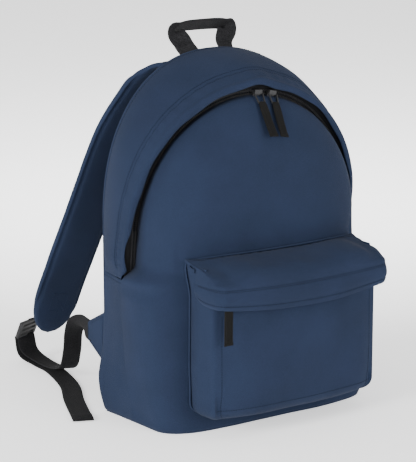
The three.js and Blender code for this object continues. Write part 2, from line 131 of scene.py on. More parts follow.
def threads(tree, pitch):
    """Plain weave from the UV map, which is in metres: its height, 0 to 1."""
    uv = node(tree, "ShaderNodeTexCoord").outputs["UV"]
    wave_scale = 2 * math.pi / (20 * pitch)
    ways = []
    for direction in ("X", "Y"):
        wave = node(tree, "ShaderNodeTexWave", wave_type="BANDS", bands_direction=direction)
        wave.inputs["Scale"].default_value = wave_scale
        tree.links.new(uv, wave.inputs["Vector"])
        ways.append(wave.outputs["Fac"])
    gaps = [maths(tree, "SUBTRACT", 1.0, way) for way in ways]
    return maths(tree, "MAXIMUM", maths(tree, "MULTIPLY", *ways), maths(tree, "MULTIPLY", *gaps))


def noisy(tree, **values):
    """A noise texture in the object's own space: its value, 0 to 1."""
    made = node(tree, "ShaderNodeTexNoise", **values)
    tree.links.new(node(tree, "ShaderNodeTexCoord").outputs["Object"], made.inputs["Vector"])
    return made.outputs["Fac"]


def on_edges(tree, low, high, flat, edge):
    """flat on open surfaces, and edge on ridges that stand out."""
    return ramp(tree, node(tree, "ShaderNodeNewGeometry").outputs["Pointiness"], low, high, flat, edge)


def finish_shader(tree, shader, colour, shade, rough, height, strength, depth):
    """Connects the colour times its shade, the roughness and the relief."""
    tint = node(tree, "ShaderNodeVectorMath", operation="SCALE")
    tint.inputs[0].default_value = colour
    relief = node(tree, "ShaderNodeBump", Strength=strength, Distance=depth)
    tree.links.new(shade, tint.inputs["Scale"])
    tree.links.new(tint.outputs[0], shader.inputs["Base Color"])
    tree.links.new(rough, shader.inputs["Roughness"])
    tree.links.new(height, relief.inputs["Height"])
    tree.links.new(relief.outputs[0], shader.inputs["Normal"])


def woven(name, colour, pitch, bump, roughness=0.85, sheen=0.02, mottle=0.12, heather=0.22, wear=0.18):
    """Woven cloth: threads, heathered yarn, soft patches of colour, and paler worn edges."""
    mat, tree, shader = principled(name, colour, roughness, sheen=sheen, specular=0.04)
    weave = threads(tree, pitch)
    patches = noisy(tree, Scale=14.0, Detail=5.0, Roughness=0.6)
    yarn = noisy(tree, Scale=1.0 / pitch, Detail=2.0, Roughness=0.7)
    shade = ramp(tree, patches, 0.3, 0.7, 1 - mottle, 1 + mottle)
    for part in (ramp(tree, yarn, 0.25, 0.75, -heather, heather),
                 ramp(tree, weave, 0.0, 1.0, -0.12, 0.10),
                 on_edges(tree, 0.52, 0.60, 0.0, wear)):
        shade = maths(tree, "ADD", shade, part)
    rough = ramp(tree, patches, 0.3, 0.7, roughness - 0.06, roughness + 0.08)
    height = maths(tree, "ADD", weave, maths(tree, "MULTIPLY", yarn, 0.6))
    finish_shader(tree, shader, colour, shade, rough, height, 0.55, bump)
    return mat


def moulded(name, colour, roughness, metallic=0.0, grain=900.0, bump=0.05 * MM, specular=0.5):
    """Plastic, metal or foam: a fine grain, an uneven shine, and a painted highlight that brightens the
    edges.
    """
    mat, tree, shader = principled(name, colour, roughness, metallic, specular=specular)
    fine = noisy(tree, Scale=grain, Detail=3.0)
    smears = noisy(tree, Scale=70.0, Detail=4.0)
    rough = ramp(tree, smears, 0.3, 0.7, roughness - 0.08, roughness + 0.12)
    # The colour rises to 1.7 times on ridges and edges: a painted highlight.
    finish_shader(tree, shader, colour, on_edges(tree, 0.53, 0.62, 1.0, 1.7), rough, fine, 0.35, bump)
    return mat


NAVY = (0.0150, 0.0224, 0.0452)
BLACK = (0.0125, 0.0125, 0.0135)


def navy(share):
    return tuple(share * c for c in NAVY)


THREAD = {"pitch": 0.4 * MM, "bump": 0.05 * MM}
MATERIALS = {
    "navy": woven("navy_polyester", NAVY, 0.9 * MM, 0.22 * MM),
    "navy_inside": woven("navy_lining", navy(0.8), 0.8 * MM, 0.12 * MM, sheen=0.1),
    "webbing": woven("black_webbing", BLACK, 1.5 * MM, 0.35 * MM, heather=0.5, mottle=0.1),
    "handle": woven("heather_webbing", (0.017, 0.017, 0.0185), 1.5 * MM, 0.4 * MM, heather=0.8, mottle=0.08),
    "pull": woven("pull_tape", (0.0085, 0.0083, 0.0080), 1.0 * MM, 0.3 * MM, heather=0.4, mottle=0.1),
    "tape": woven("zip_tape", (0.008, 0.008, 0.009), 0.8 * MM, 0.15 * MM, sheen=0.1),
    "thread": woven("navy_thread", navy(1.1), **THREAD, roughness=0.6, wear=0.1),
    "dark_thread": woven("seam_thread", navy(0.35), **THREAD, wear=0.0),
    "black_thread": woven("black_thread", (0.015, 0.015, 0.017), **THREAD, roughness=0.6, wear=0.1),
    "plastic": moulded("black_acetal", (0.0105, 0.0105, 0.0115), 0.5, specular=0.22),
    "teeth": moulded("zip_coil_nylon", (0.009, 0.009, 0.010), 0.42, specular=0.25),
    "metal": moulded("gunmetal_lacquer", (0.014, 0.014, 0.015), 0.36, 0.3, grain=400.0, specular=0.3),
    "foam": moulded("closed_cell_foam", (0.55, 0.55, 0.53), 0.9, grain=500.0, bump=0.4 * MM),
}


# ------------------------------------------------------------------ mesh tools
def mesh_object(name, points, faces, material, uvs):
    mesh = bpy.data.meshes.new(name)
    mesh.from_pydata([tuple(p) for p in points], [], faces)
    layer = mesh.uv_layers.new(name="UVMap")
    for loop in mesh.loops:
        layer.data[loop.index].uv = uvs[loop.vertex_index]
    mesh.materials.append(MATERIALS[material])
    mesh.polygons.foreach_set("use_smooth", [True] * len(mesh.polygons))
    mesh.update()
    made = bpy.data.objects.new(name, mesh)
    bpy.context.scene.collection.objects.link(made)
    return made


@contextmanager
def editing(obj):
    """The object's mesh as a bmesh, written back at the end."""
    work = bmesh.new()
    work.from_mesh(obj.data)
    yield work
    work.to_mesh(obj.data)
    work.free()


def tidy(obj, merge=0.02 * MM, outward=True):
    """Merges doubled points and turns every face the same way, outward on a closed mesh."""
    with editing(obj) as work:
        bmesh.ops.remove_doubles(work, verts=work.verts, dist=merge)
        if outward:
            bmesh.ops.recalc_face_normals(work, faces=work.faces)
    return obj


def solidify(obj, thickness, offset=-1.0):
    made = obj.modifiers.new("thickness", "SOLIDIFY")
    made.thickness = thickness
    made.offset = offset
    made.use_even_offset = False


def soften(obj, width):
    """Rounds the edges that turn by more than 35 degrees."""
    made = obj.modifiers.new("soft_edges", "BEVEL")
    made.width = width
    made.segments = 2
    made.limit_method = "ANGLE"
    made.angle_limit = math.radians(35)


def grid(name, surface, columns, rows, material, size, keep=None, thickness=FABRIC):
    """A sheet over surface(u, v). size is its width and height in metres, for the UV map."""
    points, uvs, faces = [], [], []
    for j in range(rows + 1):
        for i in range(columns + 1):
            u, v = i / columns, j / rows
            points.append(surface(u, v))
            uvs.append((u * size[0], v * size[1]))
    for j in range(rows):
        for i in range(columns):
            if keep is None or keep((i + 0.5) / columns, (j + 0.5) / rows):
                a = j * (columns + 1) + i
                faces.append((a, a + 1, a + columns + 2, a + columns + 1))
    made = mesh_object(name, points, faces, material, uvs)
    with editing(made) as work:
        loose = [v for v in work.verts if not v.link_faces]
        bmesh.ops.delete(work, geom=loose, context="VERTS")
    solidify(made, thickness)
    return made


def wobble(point, scale, amount, seed=0.0):
    place = Vector(point) * scale + Vector((seed, seed * 1.7, -seed))
    return noise.noise(place) * amount


def smoothstep(low, high, value):
    share = min(max((value - low) / (high - low), 0.0), 1.0)
    return share * share * (3 - 2 * share)


def lerp(a, b, share):
    return a + (b - a) * share


def hump(value, middle, width):
    """1 at the middle, fading smoothly to 0 a few widths away."""
    return math.exp(-((value - middle) / width) ** 2)


def smooth_between(p0, p1, p2, p3, t):
    """The smooth curve through four points in turn, from p1 (t 0) to p2 (t 1)."""
    return 0.5 * ((2 * p1) + (p2 - p0) * t + (2 * p0 - 5 * p1 + 4 * p2 - p3) * t ** 2
                  + (3 * p1 - p0 - 3 * p2 + p3) * t ** 3)


def run_along(places):
    """The length of the line up to each of its places."""
    return np.concatenate([[0], np.cumsum([(b - a).length for a, b in zip(places, places[1:])])])


CURVE_CUTS = 24


def curve_points(points, steps):
    """A smooth line through the points, cut into even steps by length."""
    pts = [Vector(p) for p in points]
    pts = [pts[0] * 2 - pts[1]] + pts + [pts[-1] * 2 - pts[-2]]
    fine = []
    for k in range(1, len(pts) - 2):
        fine += [smooth_between(*pts[k - 1:k + 3], i / CURVE_CUTS) for i in range(CURVE_CUTS)]
    fine.append(pts[-2])
    run = run_along(fine)
    array = np.array([tuple(p) for p in fine])
    places = np.linspace(0, run[-1], steps + 1)
    return [Vector([np.interp(s, run, array[:, k]) for k in range(3)]) for s in places], run[-1]


def ring_faces(rings, count, start=0):
    """Faces between closed rings of points that follow each other, from the point numbered start."""
    faces = []
    for k in range(rings):
        for n in range(count):
            a = start + k * count + n
            b = start + k * count + (n + 1) % count
            faces.append((a, b, b + count, a + count))
    return faces


def flat_section(width, thickness):
    """Half-round-edged rectangle across a strip: points as (across, out)."""
    radius = thickness / 2
    flat = width / 2 - radius
    turns = np.linspace(-math.pi / 2, math.pi / 2, 5)
    half = [(flat + radius * math.cos(a), radius * math.sin(a)) for a in turns]
    half += [(x, radius) for x in np.linspace(flat, -flat, 7)[1:-1]]
    return half + [(-x, -z) for x, z in half]


def sweep(name, points, across, steps, section, material):
    """A strip swept along the points, and its middle line. Part of the way along (share), across(share) is
    the way its width points and section(share) its outline."""
    line, length = curve_points(points, steps)
    verts, uvs = [], []
    for k, place in enumerate(line):
        ahead = line[min(k + 1, steps)] - line[max(k - 1, 0)]
        ahead.normalize()
        side = Vector(across(k / steps)).normalized()
        side = (side - ahead * side.dot(ahead)).normalized()
        out = ahead.cross(side)
        outline = section(k / steps)
        run = 0.0
        for n, (x, z) in enumerate(outline):
            if n:
                run += math.hypot(x - outline[n - 1][0], z - outline[n - 1][1])
            verts.append(place + side * x + out * z)
            uvs.append((run, k / steps * length))
    count = len(section(0.0))
    ends = [tuple(reversed(range(count))), tuple(steps * count + n for n in range(count))]
    return tidy(mesh_object(name, verts, ring_faces(steps, count) + ends, material, uvs)), line


def webbing(name, points, across, thickness, steps):
    """A flat strip of webbing along the points."""
    section = flat_section(WEBBING_WIDTH, thickness)
    made, _ = sweep(name, points, across, steps, lambda share: section, "webbing")
    return made


def normal_of(surface, u, v, step=1e-3):
    along_u = Vector(surface(min(u + step, 1), v)) - Vector(surface(max(u - step, 0), v))
    along_v = Vector(surface(u, min(v + step, 1))) - Vector(surface(u, max(v - step, 0)))
    return along_u.cross(along_v).normalized()


class Thread:
    """Collects short sewn stitches and makes one mesh of them."""

    def __init__(self):
        self.points, self.faces, self.uvs = [], [], []

    def stitch(self, middle, ahead, out, length, radius):
        side = ahead.cross(out).normalized()
        start = len(self.points)
        self.points.append(middle - ahead * length / 2 - out * radius * 0.6)
        for share in (-0.28, 0.28):
            for a in range(4):
                turn = a * math.pi / 2
                self.points.append(middle + ahead * length * share
                                   + (side * math.cos(turn) + out * math.sin(turn)) * radius)
        self.points.append(middle + ahead * length / 2 - out * radius * 0.6)
        for a in range(4):
            b = (a + 1) % 4
            self.faces.append((start, start + 1 + b, start + 1 + a))
            self.faces.append((start + 1 + a, start + 1 + b, start + 5 + b, start + 5 + a))
            self.faces.append((start + 5 + a, start + 5 + b, start + 9))

    def row(self, places, outs, pitch=3.0 * MM, length=2.3 * MM, radius=0.33 * MM, lift=0.12 * MM):
        """A line of stitches along the places, where outs are the cloth's outward directions."""
        run = run_along(places)
        line, face = (np.array([tuple(p) for p in rows]) for rows in (places, outs))

        def at(rows, s):
            return Vector([np.interp(s, run, rows[:, k]) for k in range(3)])

        for s in np.arange(pitch / 2, run[-1], pitch):
            out = at(face, s).normalized()
            ahead = (at(line, s + 0.4 * MM) - at(line, s - 0.4 * MM)).normalized()
            self.stitch(at(line, s) + out * lift, ahead, out, length, radius)

    def make(self, name, material="thread"):
        return mesh_object(name, self.points, self.faces, material, [(p[0], p[2]) for p in self.points])


# ------------------------------------------------------------------ CAD nodes that stay
def dress(material, *names, bevel=0.0):
    for name in names:
        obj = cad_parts[name]
        obj.data.materials.clear()
        obj.data.materials.append(MATERIALS[material])
        if bevel:
            soften(obj, bevel)


def belongs(piece, body, slot, *nodes):
    """The piece moves with a CAD body and stands for these CAD nodes, which are hidden. Its slot is not
    used.
    """
    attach(piece, body)
    if nodes:
        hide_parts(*nodes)


def bends(piece, bodies, between, slot, *nodes):
    """Bakes the piece's placing into its mesh and hides these CAD nodes. The piece does not bend, and its
    bodies and slot are not used.
    """
    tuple(between[0])
    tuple(between[1])
    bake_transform(piece)
    if nodes:
        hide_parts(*nodes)


FLAP_BODIES = ("bag", "front_flap")
FLAP_FOLD = ((0, -0.07, 0.204), (0, -0.07, 0.262))


# ------------------------------------------------------------------ the shapes of the bag
def signed_power(value, power):
    return math.copysign(abs(value) ** power, value)


LEAN = (ARCH_TOP[0] - ARCH_END[0]) / (ARCH_TOP[1] - ARCH_END[1])
ARCH_UP = Vector((0, LEAN, 1)).normalized()
ARCH_OUT = Vector((0, -ARCH_UP.z, ARCH_UP.y))
ARCH_CENTRE = Vector((0, ARCH_END[0] + LEAN * (ARCH_Z - ARCH_END[1]), ARCH_Z))
LEG = 55 * MM
LEG_SHARE = 0.16
BACK_POWER = 2 / 2.25


def foot_share(s):
    """How far down a straight leg the place s of an arch lies: 0 on the arch, 1 at its foot."""
    return max(LEG_SHARE - s, s - 1 + LEG_SHARE, 0) / LEG_SHARE


def arch_y(z):
    return ARCH_END[0] + LEAN * max(z - ARCH_END[1], 0)


def arch_at(s, radius, out=0.0):
    """A point of an arch beside the zip, for s from 0 at its left foot to 1 at its right foot."""
    angle = math.pi / 2 - math.pi * (0.5 - (s - LEG_SHARE) / (1 - 2 * LEG_SHARE))
    angle = min(max(angle, 0.0), math.pi)
    x = -radius * math.cos(angle)
    up = radius * math.sin(angle) - foot_share(s) * LEG
    return ARCH_CENTRE + Vector((x, 0, 0)) + ARCH_UP * up + ARCH_OUT * out


def back_at(s):
    """A point of the back seam, for s from 0 at its left foot to 1 at its right foot."""
    angle = math.pi * min(max((s - LEG_SHARE) / (1 - 2 * LEG_SHARE), 0), 1)
    foot = foot_share(s) * (ARCH_Z - ARCH_END[1])
    x = -BACK_HALF * signed_power(math.cos(angle), BACK_POWER)
    z = ARCH_Z + (TOP_Z - ARCH_Z) * math.sin(angle) ** BACK_POWER - foot
    return Vector((x, BACK_Y, z))


def lower_half(z):
    return lerp(BASE_HALF - 4 * MM, HALF, math.sin(min(z / ARCH_END[1], 1) * math.pi / 2))


FLAP_TOP_Z = ARCH_Z + HEM_RADIUS


def middle_depth(z):
    if z <= ARCH_END[1]:
        return lerp(BASE_DEPTH, FULL_DEPTH, math.sin(min(z / (120 * MM), 1) * math.pi / 2))
    share = min((z - ARCH_END[1]) / (FLAP_TOP_Z - ARCH_END[1]), 1)
    return FULL_DEPTH * (1 - share ** 1.6) ** 0.75


def corner_exponent(z):
    foot = 1.6 * smoothstep(90 * MM, 0.0, z)
    return lerp(3.2, 2.7, smoothstep(ARCH_END[1] - 30 * MM, ARCH_END[1] + 60 * MM, z)) + foot


def front_y(share, z):
    power = corner_exponent(z)
    return arch_y(z) - middle_depth(z) * (1 - min(abs(share), 1) ** power) ** (1 / power)


# ------------------------------------------------------------------ main shell
SIDE_COLUMNS = 26
FRONT_COLUMNS = 110
LOWER_ROWS = 44
FOOT_ROWS = 8
MIDDLE_ROWS = 18
DOME_ROWS = 40
SEAM_Z = ARCH_END[1]
BOTTOM_ROUND = 6 * MM
BACK_COUNT = 120
BACK_RINGS = 18


def plan_half(z):
    """Half width of the front panel's edge at a height: it draws in from the side seam to the zip."""
    if z <= SEAM_Z:
        return lower_half(z)
    return lerp(HALF - 1.5 * MM, HEM_RADIUS, smoothstep(SEAM_Z, SEAM_Z + 16 * MM, z))


def front_shell_point(share, z):
    """The front cloth: share runs -1 to 1 across it at a height below the dome."""
    inset = bottom_inset(z)
    x = share * (plan_half(z) - inset)
    y = front_y(share, z) + inset * (1 - abs(share) ** 4)
    return soft_front(Vector((x, y, z)), share)


def bottom_inset(z):
    rise = min(z / BOTTOM_ROUND, 1)
    return BOTTOM_ROUND * 0.8 * (1 - math.sqrt(1 - (1 - rise) ** 2))


def front_slack(x, y, z):
    """Wide, soft unevenness of the front cloth."""
    return wobble((x, 0, z), 9, 2.2 * MM, 3.0) + wobble((x, y, z), 24, 0.8 * MM, 8.0)


def soft_front(place, share):
    """Slack and creases that a filled bag's front cloth has."""
    x, y, z = place
    out = Vector((signed_power(share, 5) * 1.2, -1, 0)).normalized()
    sag = 3.0 * MM * hump(z, 0.11, 0.05) * abs(share) ** 2
    corner = abs(share) ** 6
    tuck = (-2.6 * MM * corner * hump(z, SEAM_Z - 9 * MM, 5 * MM)
            + 2.0 * MM * corner * hump(z, SEAM_Z - 20 * MM, 9 * MM))
    pull = -1.4 * MM * hump(z, 0.205, 0.012) * (abs(share) < 0.86)
    foot = -2.2 * MM * corner * hump(z, 26 * MM, 7 * MM) * math.sin(share * 9)
    return place + out * (front_slack(x, y, z) + sag + tuck + pull + foot)


def side_point(side, share, z):
    """The side cloth: share runs from 0 at the zip's plane to 1 at the back seam."""
    inset = bottom_inset(z)
    y = lerp(ARCH_END[0], BACK_Y, share)
    bulge = 2.5 * MM * math.sin(math.pi * share) * math.sin(math.pi * min(z / SEAM_Z, 1))
    heel = 7 * MM * share ** 2 * hump(z, 34 * MM, 42 * MM)
    seam = -1.2 * MM * hump(z, SEAM_Z, 2.2 * MM)
    crease = wobble((0, y, z), 13, 2.4 * MM, 5.0 + side) + wobble((0, y * 1.5, z), 34, 0.9 * MM, 1.0)
    fade = smoothstep(0.0, 0.25, share) * smoothstep(1.0, 0.8, share)
    x = lerp(lower_half(z), min(lower_half(z), BACK_HALF + 1 * MM), share)
    x += bulge + heel + seam * share + crease * fade - inset
    return Vector((side * x, y + 4 * MM * share ** 3 * hump(z, 30 * MM, 40 * MM), z))


def front_shares():
    """Columns across the front, closer together at the corners."""
    return [0.55 * -math.cos(math.pi * i / FRONT_COLUMNS) + 0.45 * (2 * i / FRONT_COLUMNS - 1)
            for i in range(FRONT_COLUMNS + 1)]


def dome_point(share, rise):
    """The half disc over the zip's straight legs, from its foot line (0) to the arch (1)."""
    x = HEM_RADIUS * share * math.sqrt(1 - rise ** 2 / 2)
    up = HEM_RADIUS * rise * math.sqrt(1 - share ** 2 / 2)
    half = math.sqrt(max(HEM_RADIUS ** 2 - up ** 2, 1e-9))
    across = min(abs(x) / half, 1.0)
    z = ARCH_Z + up
    place = Vector((x, front_y(across, z), z))
    edge = 1 - smoothstep(0.86, 1.0, math.hypot(x, up) / HEM_RADIUS)
    return place - Vector((0, front_slack(x, place.y, z) * edge, 0))


def row_heights():
    """Heights of the rows below the side seam, closer together at the foot, and of those above it."""
    low = [BOTTOM_ROUND * (1 - math.cos(math.pi / 2 * k / FOOT_ROWS)) for k in range(FOOT_ROWS)]
    wall_rows = LOWER_ROWS - FOOT_ROWS
    rest = [lerp(BOTTOM_ROUND, SEAM_Z, k / wall_rows) for k in range(wall_rows + 1)]
    upper = [lerp(SEAM_Z, ARCH_Z, (k + 1) / MIDDLE_ROWS) for k in range(MIDDLE_ROWS)]
    return [max(z, 0.6 * MM) for z in low + rest], upper


def shell_rows():
    """The rows of points from the foot up, each with the number of columns missing before it."""
    low, upper = row_heights()
    shares = front_shares()
    rows = []
    for z in low:
        left = [side_point(-1, 1 - i / SIDE_COLUMNS, z) for i in range(SIDE_COLUMNS)]
        right = [side_point(1, (i + 1) / SIDE_COLUMNS, z) for i in range(SIDE_COLUMNS)]
        rows.append((0, left + [front_shell_point(s, z) for s in shares] + right))
    rows += [(SIDE_COLUMNS, [front_shell_point(s, z) for s in shares]) for z in upper]
    for k in range(1, DOME_ROWS + 1):
        rows.append((SIDE_COLUMNS, [dome_point(s, k / DOME_ROWS) for s in shares]))
    return rows


def build_front_shell():
    """Lower sides, front and upper front panel, as the one cloth that runs round the bag."""
    rows = shell_rows()
    points, uvs, faces = [], [], []
    width = 2 * (HALF + FULL_DEPTH)
    for j, (skip, row) in enumerate(rows):
        start = len(points)
        points.extend(row)
        for i in range(len(row)):
            across = (skip + i - SIDE_COLUMNS) / FRONT_COLUMNS * width
            uvs.append((across, row[len(row) // 2].z))
        if j + 1 == len(rows):
            break
        next_skip, next_row = rows[j + 1]
        shift = next_skip - skip
        for i in range(shift, shift + len(next_row) - 1):
            a, b = start + i, start + len(row) + i - shift
            faces.append((a, a + 1, b + 1, b))
    shell = mesh_object("front_shell", points, faces, "navy", uvs)
    tidy(shell, outward=False)
    solidify(shell, FABRIC)
    return shell


def lip_fade(s):
    """1 along the arch, falling to 0 where the zip cover ends in the side seam."""
    return smoothstep(0.0, 0.035, min(s, 1 - s))


def lip_slack(s):
    """1 where the lip hangs slack above the zip's ends and shows the zip behind it."""
    return hump(min(s, 1 - s), 0.085, 0.075)


def lip_peak(s):
    """How far the two sliders push the lip up."""
    return 4 * MM * hump(s, 0.515, 0.025)


def gusset_at(s, v):
    """The top and side gusset from its back seam (0) to the front of its lip (1)."""
    lip = arch_at(s, LIP_RADIUS + lip_peak(s), 2 * MM * lip_fade(s) - 6 * MM * lip_slack(s))
    out = arch_at(s, 1.0) - arch_at(s, 0.0)
    out = Vector((out.x, 0, max(out.z, 0))).normalized()
    place = back_at(s).lerp(lip, v)
    foot = smoothstep(0.0, 0.07, min(s, 1 - s))
    swell = 4 * v * (1 - v)
    bulge = lerp(0.8, 6, foot) * MM * swell
    crease = (wobble(place, 11, 2.6 * MM, 2.0) + wobble(place, 30, 0.8 * MM, 6.0)) * swell * foot
    stitched = hump(v, 0.83, 0.035)
    pucker = 0.45 * MM * math.sin(s * 300 + 2 * math.sin(s * 41)) * hump(v, 0.88, 0.09)
    seam = -1.0 * MM * hump(v, 0, 0.03)
    return place + out * (bulge + crease + pucker * lip_fade(s) - 0.7 * MM * stitched + seam)


# The lip's turned-in edge, from its front round to its hem: radius and height over the zip's plane, in mm
LIP_PROFILE = [(162.9, 3.6), (162.2, 5.2), (160.8, 6.4), (158.6, 7.2), (156.2, 7.5), (154.6, 7.2)]
GUSSET_ROWS = 30
GUSSET_COLUMNS = 190
ALL_GUSSET_ROWS = GUSSET_ROWS + len(LIP_PROFILE)


def gusset_with_lip(u, v):
    """The whole gusset cloth: u from its right foot (0) to its left one (1), v from back seam to hem."""
    s = 1 - u
    k = v * ALL_GUSSET_ROWS
    if k <= GUSSET_ROWS:
        return gusset_at(s, k / GUSSET_ROWS)
    radius, out = LIP_PROFILE[round(k) - GUSSET_ROWS - 1]
    fade = lip_fade(s)
    slack = lip_slack(s)
    wave = (1 + 0.10 * math.sin(s * 37) + 0.07 * math.sin(s * 83 + 1)) * (1 - 0.85 * slack)
    reach = lerp(LIP_RADIUS, radius * MM, fade * wave) + lip_peak(s)
    return arch_at(s, reach, lerp(0.0, out * MM, fade) - 6 * MM * slack)


def build_gusset():
    return grid("top_gusset_cloth", gusset_with_lip, GUSSET_COLUMNS, ALL_GUSSET_ROWS, "navy", (0.66, 0.1))


def back_outline():
    """The back panel's edge: up the left side, over the top, down the right side and along the floor."""
    foot = BASE_HALF - 2 * MM
    left = []
    for z in np.linspace(2 * MM, SEAM_Z, 30)[:-1]:
        left.append(Vector((-lerp(foot, BACK_HALF, math.sin(z / SEAM_Z * math.pi / 2)), 0, z)))
    top = [back_at(k / BACK_COUNT) for k in range(BACK_COUNT + 1)]
    right = [Vector((-p.x, 0, p.z)) for p in reversed(left)]
    floor = [Vector((x, 0, 2 * MM)) for x in np.linspace(foot, -foot, 40)[1:-1]]
    return left + top + right + floor


def build_back():
    """The padded back: a crowned panel with a sewn edge."""
    centre_z = 0.47 * TOP_Z
    loop = back_outline()
    points, uvs = [], []
    for ring in range(BACK_RINGS + 1):
        share = ring / BACK_RINGS
        crown = 7 * MM * (1 - (1 - min(share * 3.2, 1)) ** 2) + 3 * MM * share
        for p in loop:
            flat = Vector((p.x * (1 - share), 0, lerp(p.z, centre_z, share)))
            slack = wobble(flat, 12, 1.5 * MM, 9.0) * min(share * 4, 1)
            flat.y = BACK_FACE_Y - 1.5 * MM + crown + slack
            points.append(flat)
            uvs.append((flat.x, flat.z))
    pad = mesh_object("back_pad", points, ring_faces(BACK_RINGS, len(loop)), "navy", uvs)
    tidy(pad, merge=0.3 * MM, outward=False)
    with editing(pad) as work:
        hole = [e for e in work.edges if e.is_boundary and abs(e.verts[0].co.x) < 10 * MM]
        bmesh.ops.holes_fill(work, edges=hole, sides=0)
    solidify(pad, 3 * MM)
    return pad


back_pad = build_back()
bends(build_front_shell(), FLAP_BODIES, FLAP_FOLD, "navy_fabric",
      "lower_body_wrap", "front_fold", "front_flap")
belongs(build_gusset(), "bag", "navy_fabric", "top_gusset")
belongs(back_pad, "bag", "navy_fabric", "back_panel")


# ------------------------------------------------------------------ front pocket
POCKET_SIDE_COLUMNS = 14
POCKET_FRONT_COLUMNS = 64
POCKET_COLUMNS = 2 * POCKET_SIDE_COLUMNS + POCKET_FRONT_COLUMNS
POCKET_SIDE_SHARE = POCKET_SIDE_COLUMNS / POCKET_COLUMNS
POCKET_CORNER_SHARE = 0.09
POCKET_FOOT_SHARE = 0.12
POCKET_EDGE = 7 * MM
POCKET_CROWN = 9.5 * MM
POCKET_FOOT = 15 * MM
POCKET_ROWS = 48
POCKET_CENTRE = Vector((0, -0.085, 0.11))
SIDE_FRONT_TOP_Z = 178 * MM
SIDE_BACK_TOP_Z = 197 * MM
ZIP_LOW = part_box("pocket_front_panel")[1][2]
PIPING_RADIUS = 1.25 * MM
PIPING_STEPS = 220


def wall_y(x, z):
    """The bag's front where the pocket is sewn on."""
    return front_y(x / plan_half(z), z) - 1.5 * MM


def crown_back(x, half):
    """How far the filled pocket's front curves back towards its corners."""
    return POCKET_CROWN * min(abs(x) / half, 1) ** 2.6


def pocket_height(v):
    if v < POCKET_FOOT_SHARE:
        return POCKET_LOW
    return lerp(POCKET_LOW, POCKET_HIGH, ((v - POCKET_FOOT_SHARE) / (1 - POCKET_FOOT_SHARE)) ** 1.25)


def pocket_inset(v, z):
    """How far the cloth draws in: under the pocket's floor first, then round its lower edge."""
    if v < POCKET_FOOT_SHARE:
        return POCKET_FOOT + (POCKET_FOOT_SHARE - v) / POCKET_FOOT_SHARE * 26 * MM
    rise = min((z - POCKET_LOW) / POCKET_FOOT, 1)
    return POCKET_FOOT * (1 - math.sqrt(1 - (1 - rise) ** 2))


def pocket_side_point(side, half, front, along, z):
    """The pocket's side cloth: along runs from 0 at the bag to 1 at the front corner."""
    place = Vector((side * half, lerp(wall_y(half, z), front + POCKET_EDGE, along), z))
    lift = min((z - POCKET_LOW) / (165 * MM), 1)
    swell = math.sin(math.pi * along)
    puff = 3.6 * MM * swell * math.sin(math.pi * lift) ** 0.5 if lift < 1 else 0.0
    crease = wobble((0, place.y * 1.4, z), 26, 2.4 * MM, 12.0 + side) * swell
    place.x += side * (puff + crease * smoothstep(0.165, 0.14, z))
    return place


def pocket_front_point(side, x, width, front, z):
    """The pocket's front cloth at x from its middle, for a front that is flat up to width."""
    lift = min(max((z - POCKET_LOW) / (ZIP_LOW - POCKET_LOW), 0), 1)
    crown = POCKET_CROWN - crown_back(x, width)
    bulge = 0.0
    if x < width:
        bulge = 3.5 * MM * math.cos(math.pi / 2 * x / width) ** 0.6 * math.sin(math.pi * lift) ** 0.7
    slack = wobble((side * x, 0, z), 13, 3.4 * MM, 4.0) + wobble((side * x, 0, z), 36, 0.9 * MM, 2.0)
    pinch = 3.0 * MM * hump(x, width, 18 * MM) * hump(z, 38 * MM, 14 * MM)
    sag = 1.6 * MM * math.sin(x * side * 55 + z * 30) * hump(z, 44 * MM, 18 * MM)
    fade = min(1.0, (width - x) / (20 * MM))
    return Vector((side * x, front - crown - bulge - (slack + sag) * fade + pinch, z))


def pocket_point(u, v):
    """The pocket's cloth: u from its left seam (0) to its right one (1), v from foot (0) to top (1)."""
    turn = min(u, 1 - u)
    side = -1 if u < 0.5 else 1
    z = pocket_height(v)
    inset = pocket_inset(v, z)
    half = POCKET_HALF + 1.5 * MM - inset
    front = POCKET_FRONT - 1.5 * MM + inset + POCKET_CROWN
    if turn <= POCKET_SIDE_SHARE:
        return pocket_side_point(side, half, front, turn / POCKET_SIDE_SHARE, z)
    share = (turn - POCKET_SIDE_SHARE) / (0.5 - POCKET_SIDE_SHARE)
    width = half - POCKET_EDGE
    if share >= POCKET_CORNER_SHARE:
        x = width * (1 - (share - POCKET_CORNER_SHARE) / (1 - POCKET_CORNER_SHARE))
        return pocket_front_point(side, x, width, front, z)
    angle = share / POCKET_CORNER_SHARE * math.pi / 2
    x = width + POCKET_EDGE * math.cos(angle)
    return Vector((side * x, front + POCKET_EDGE * (1 - math.sin(angle)), z))


def pocket_keep(u, v):
    """The front of the pocket stops below the zip; its sides go on up under the hood."""
    place = pocket_point(u, v)
    side_top = lerp(SIDE_FRONT_TOP_Z, SIDE_BACK_TOP_Z, smoothstep(-0.108, -0.092, place.y))
    on_side = abs(place.x) > POCKET_HALF - POCKET_EDGE * 0.7
    return place.z < ZIP_LOW - 1 * MM or (on_side and place.z < side_top)


# The hood: its top panel, then the front and side skirt below the ridge, as one cloth
HOOD_WIDE = HOOD_HALF + 2 * MM
HOOD_CORNER = 10 * MM
HOOD_CROWN = 2.5 * MM
HOOD_RETURN = 37 * MM
HOOD_STITCH_V = 0.66
HOOD_COLUMNS = 120
HOOD_ROWS = 44
HOOD_CENTRE = Vector((0, -0.09, 0.165))
HOOD_TOP_Z = 196 * MM
# The hood's middle line over its ridge: y and z in mm, after two points that follow the bag's front
HOOD_RIDGE = [(-106, 202), (-118.5, 197.5), (-126.5, 190.5), (-129.8, 183), (-130.2, 176)]


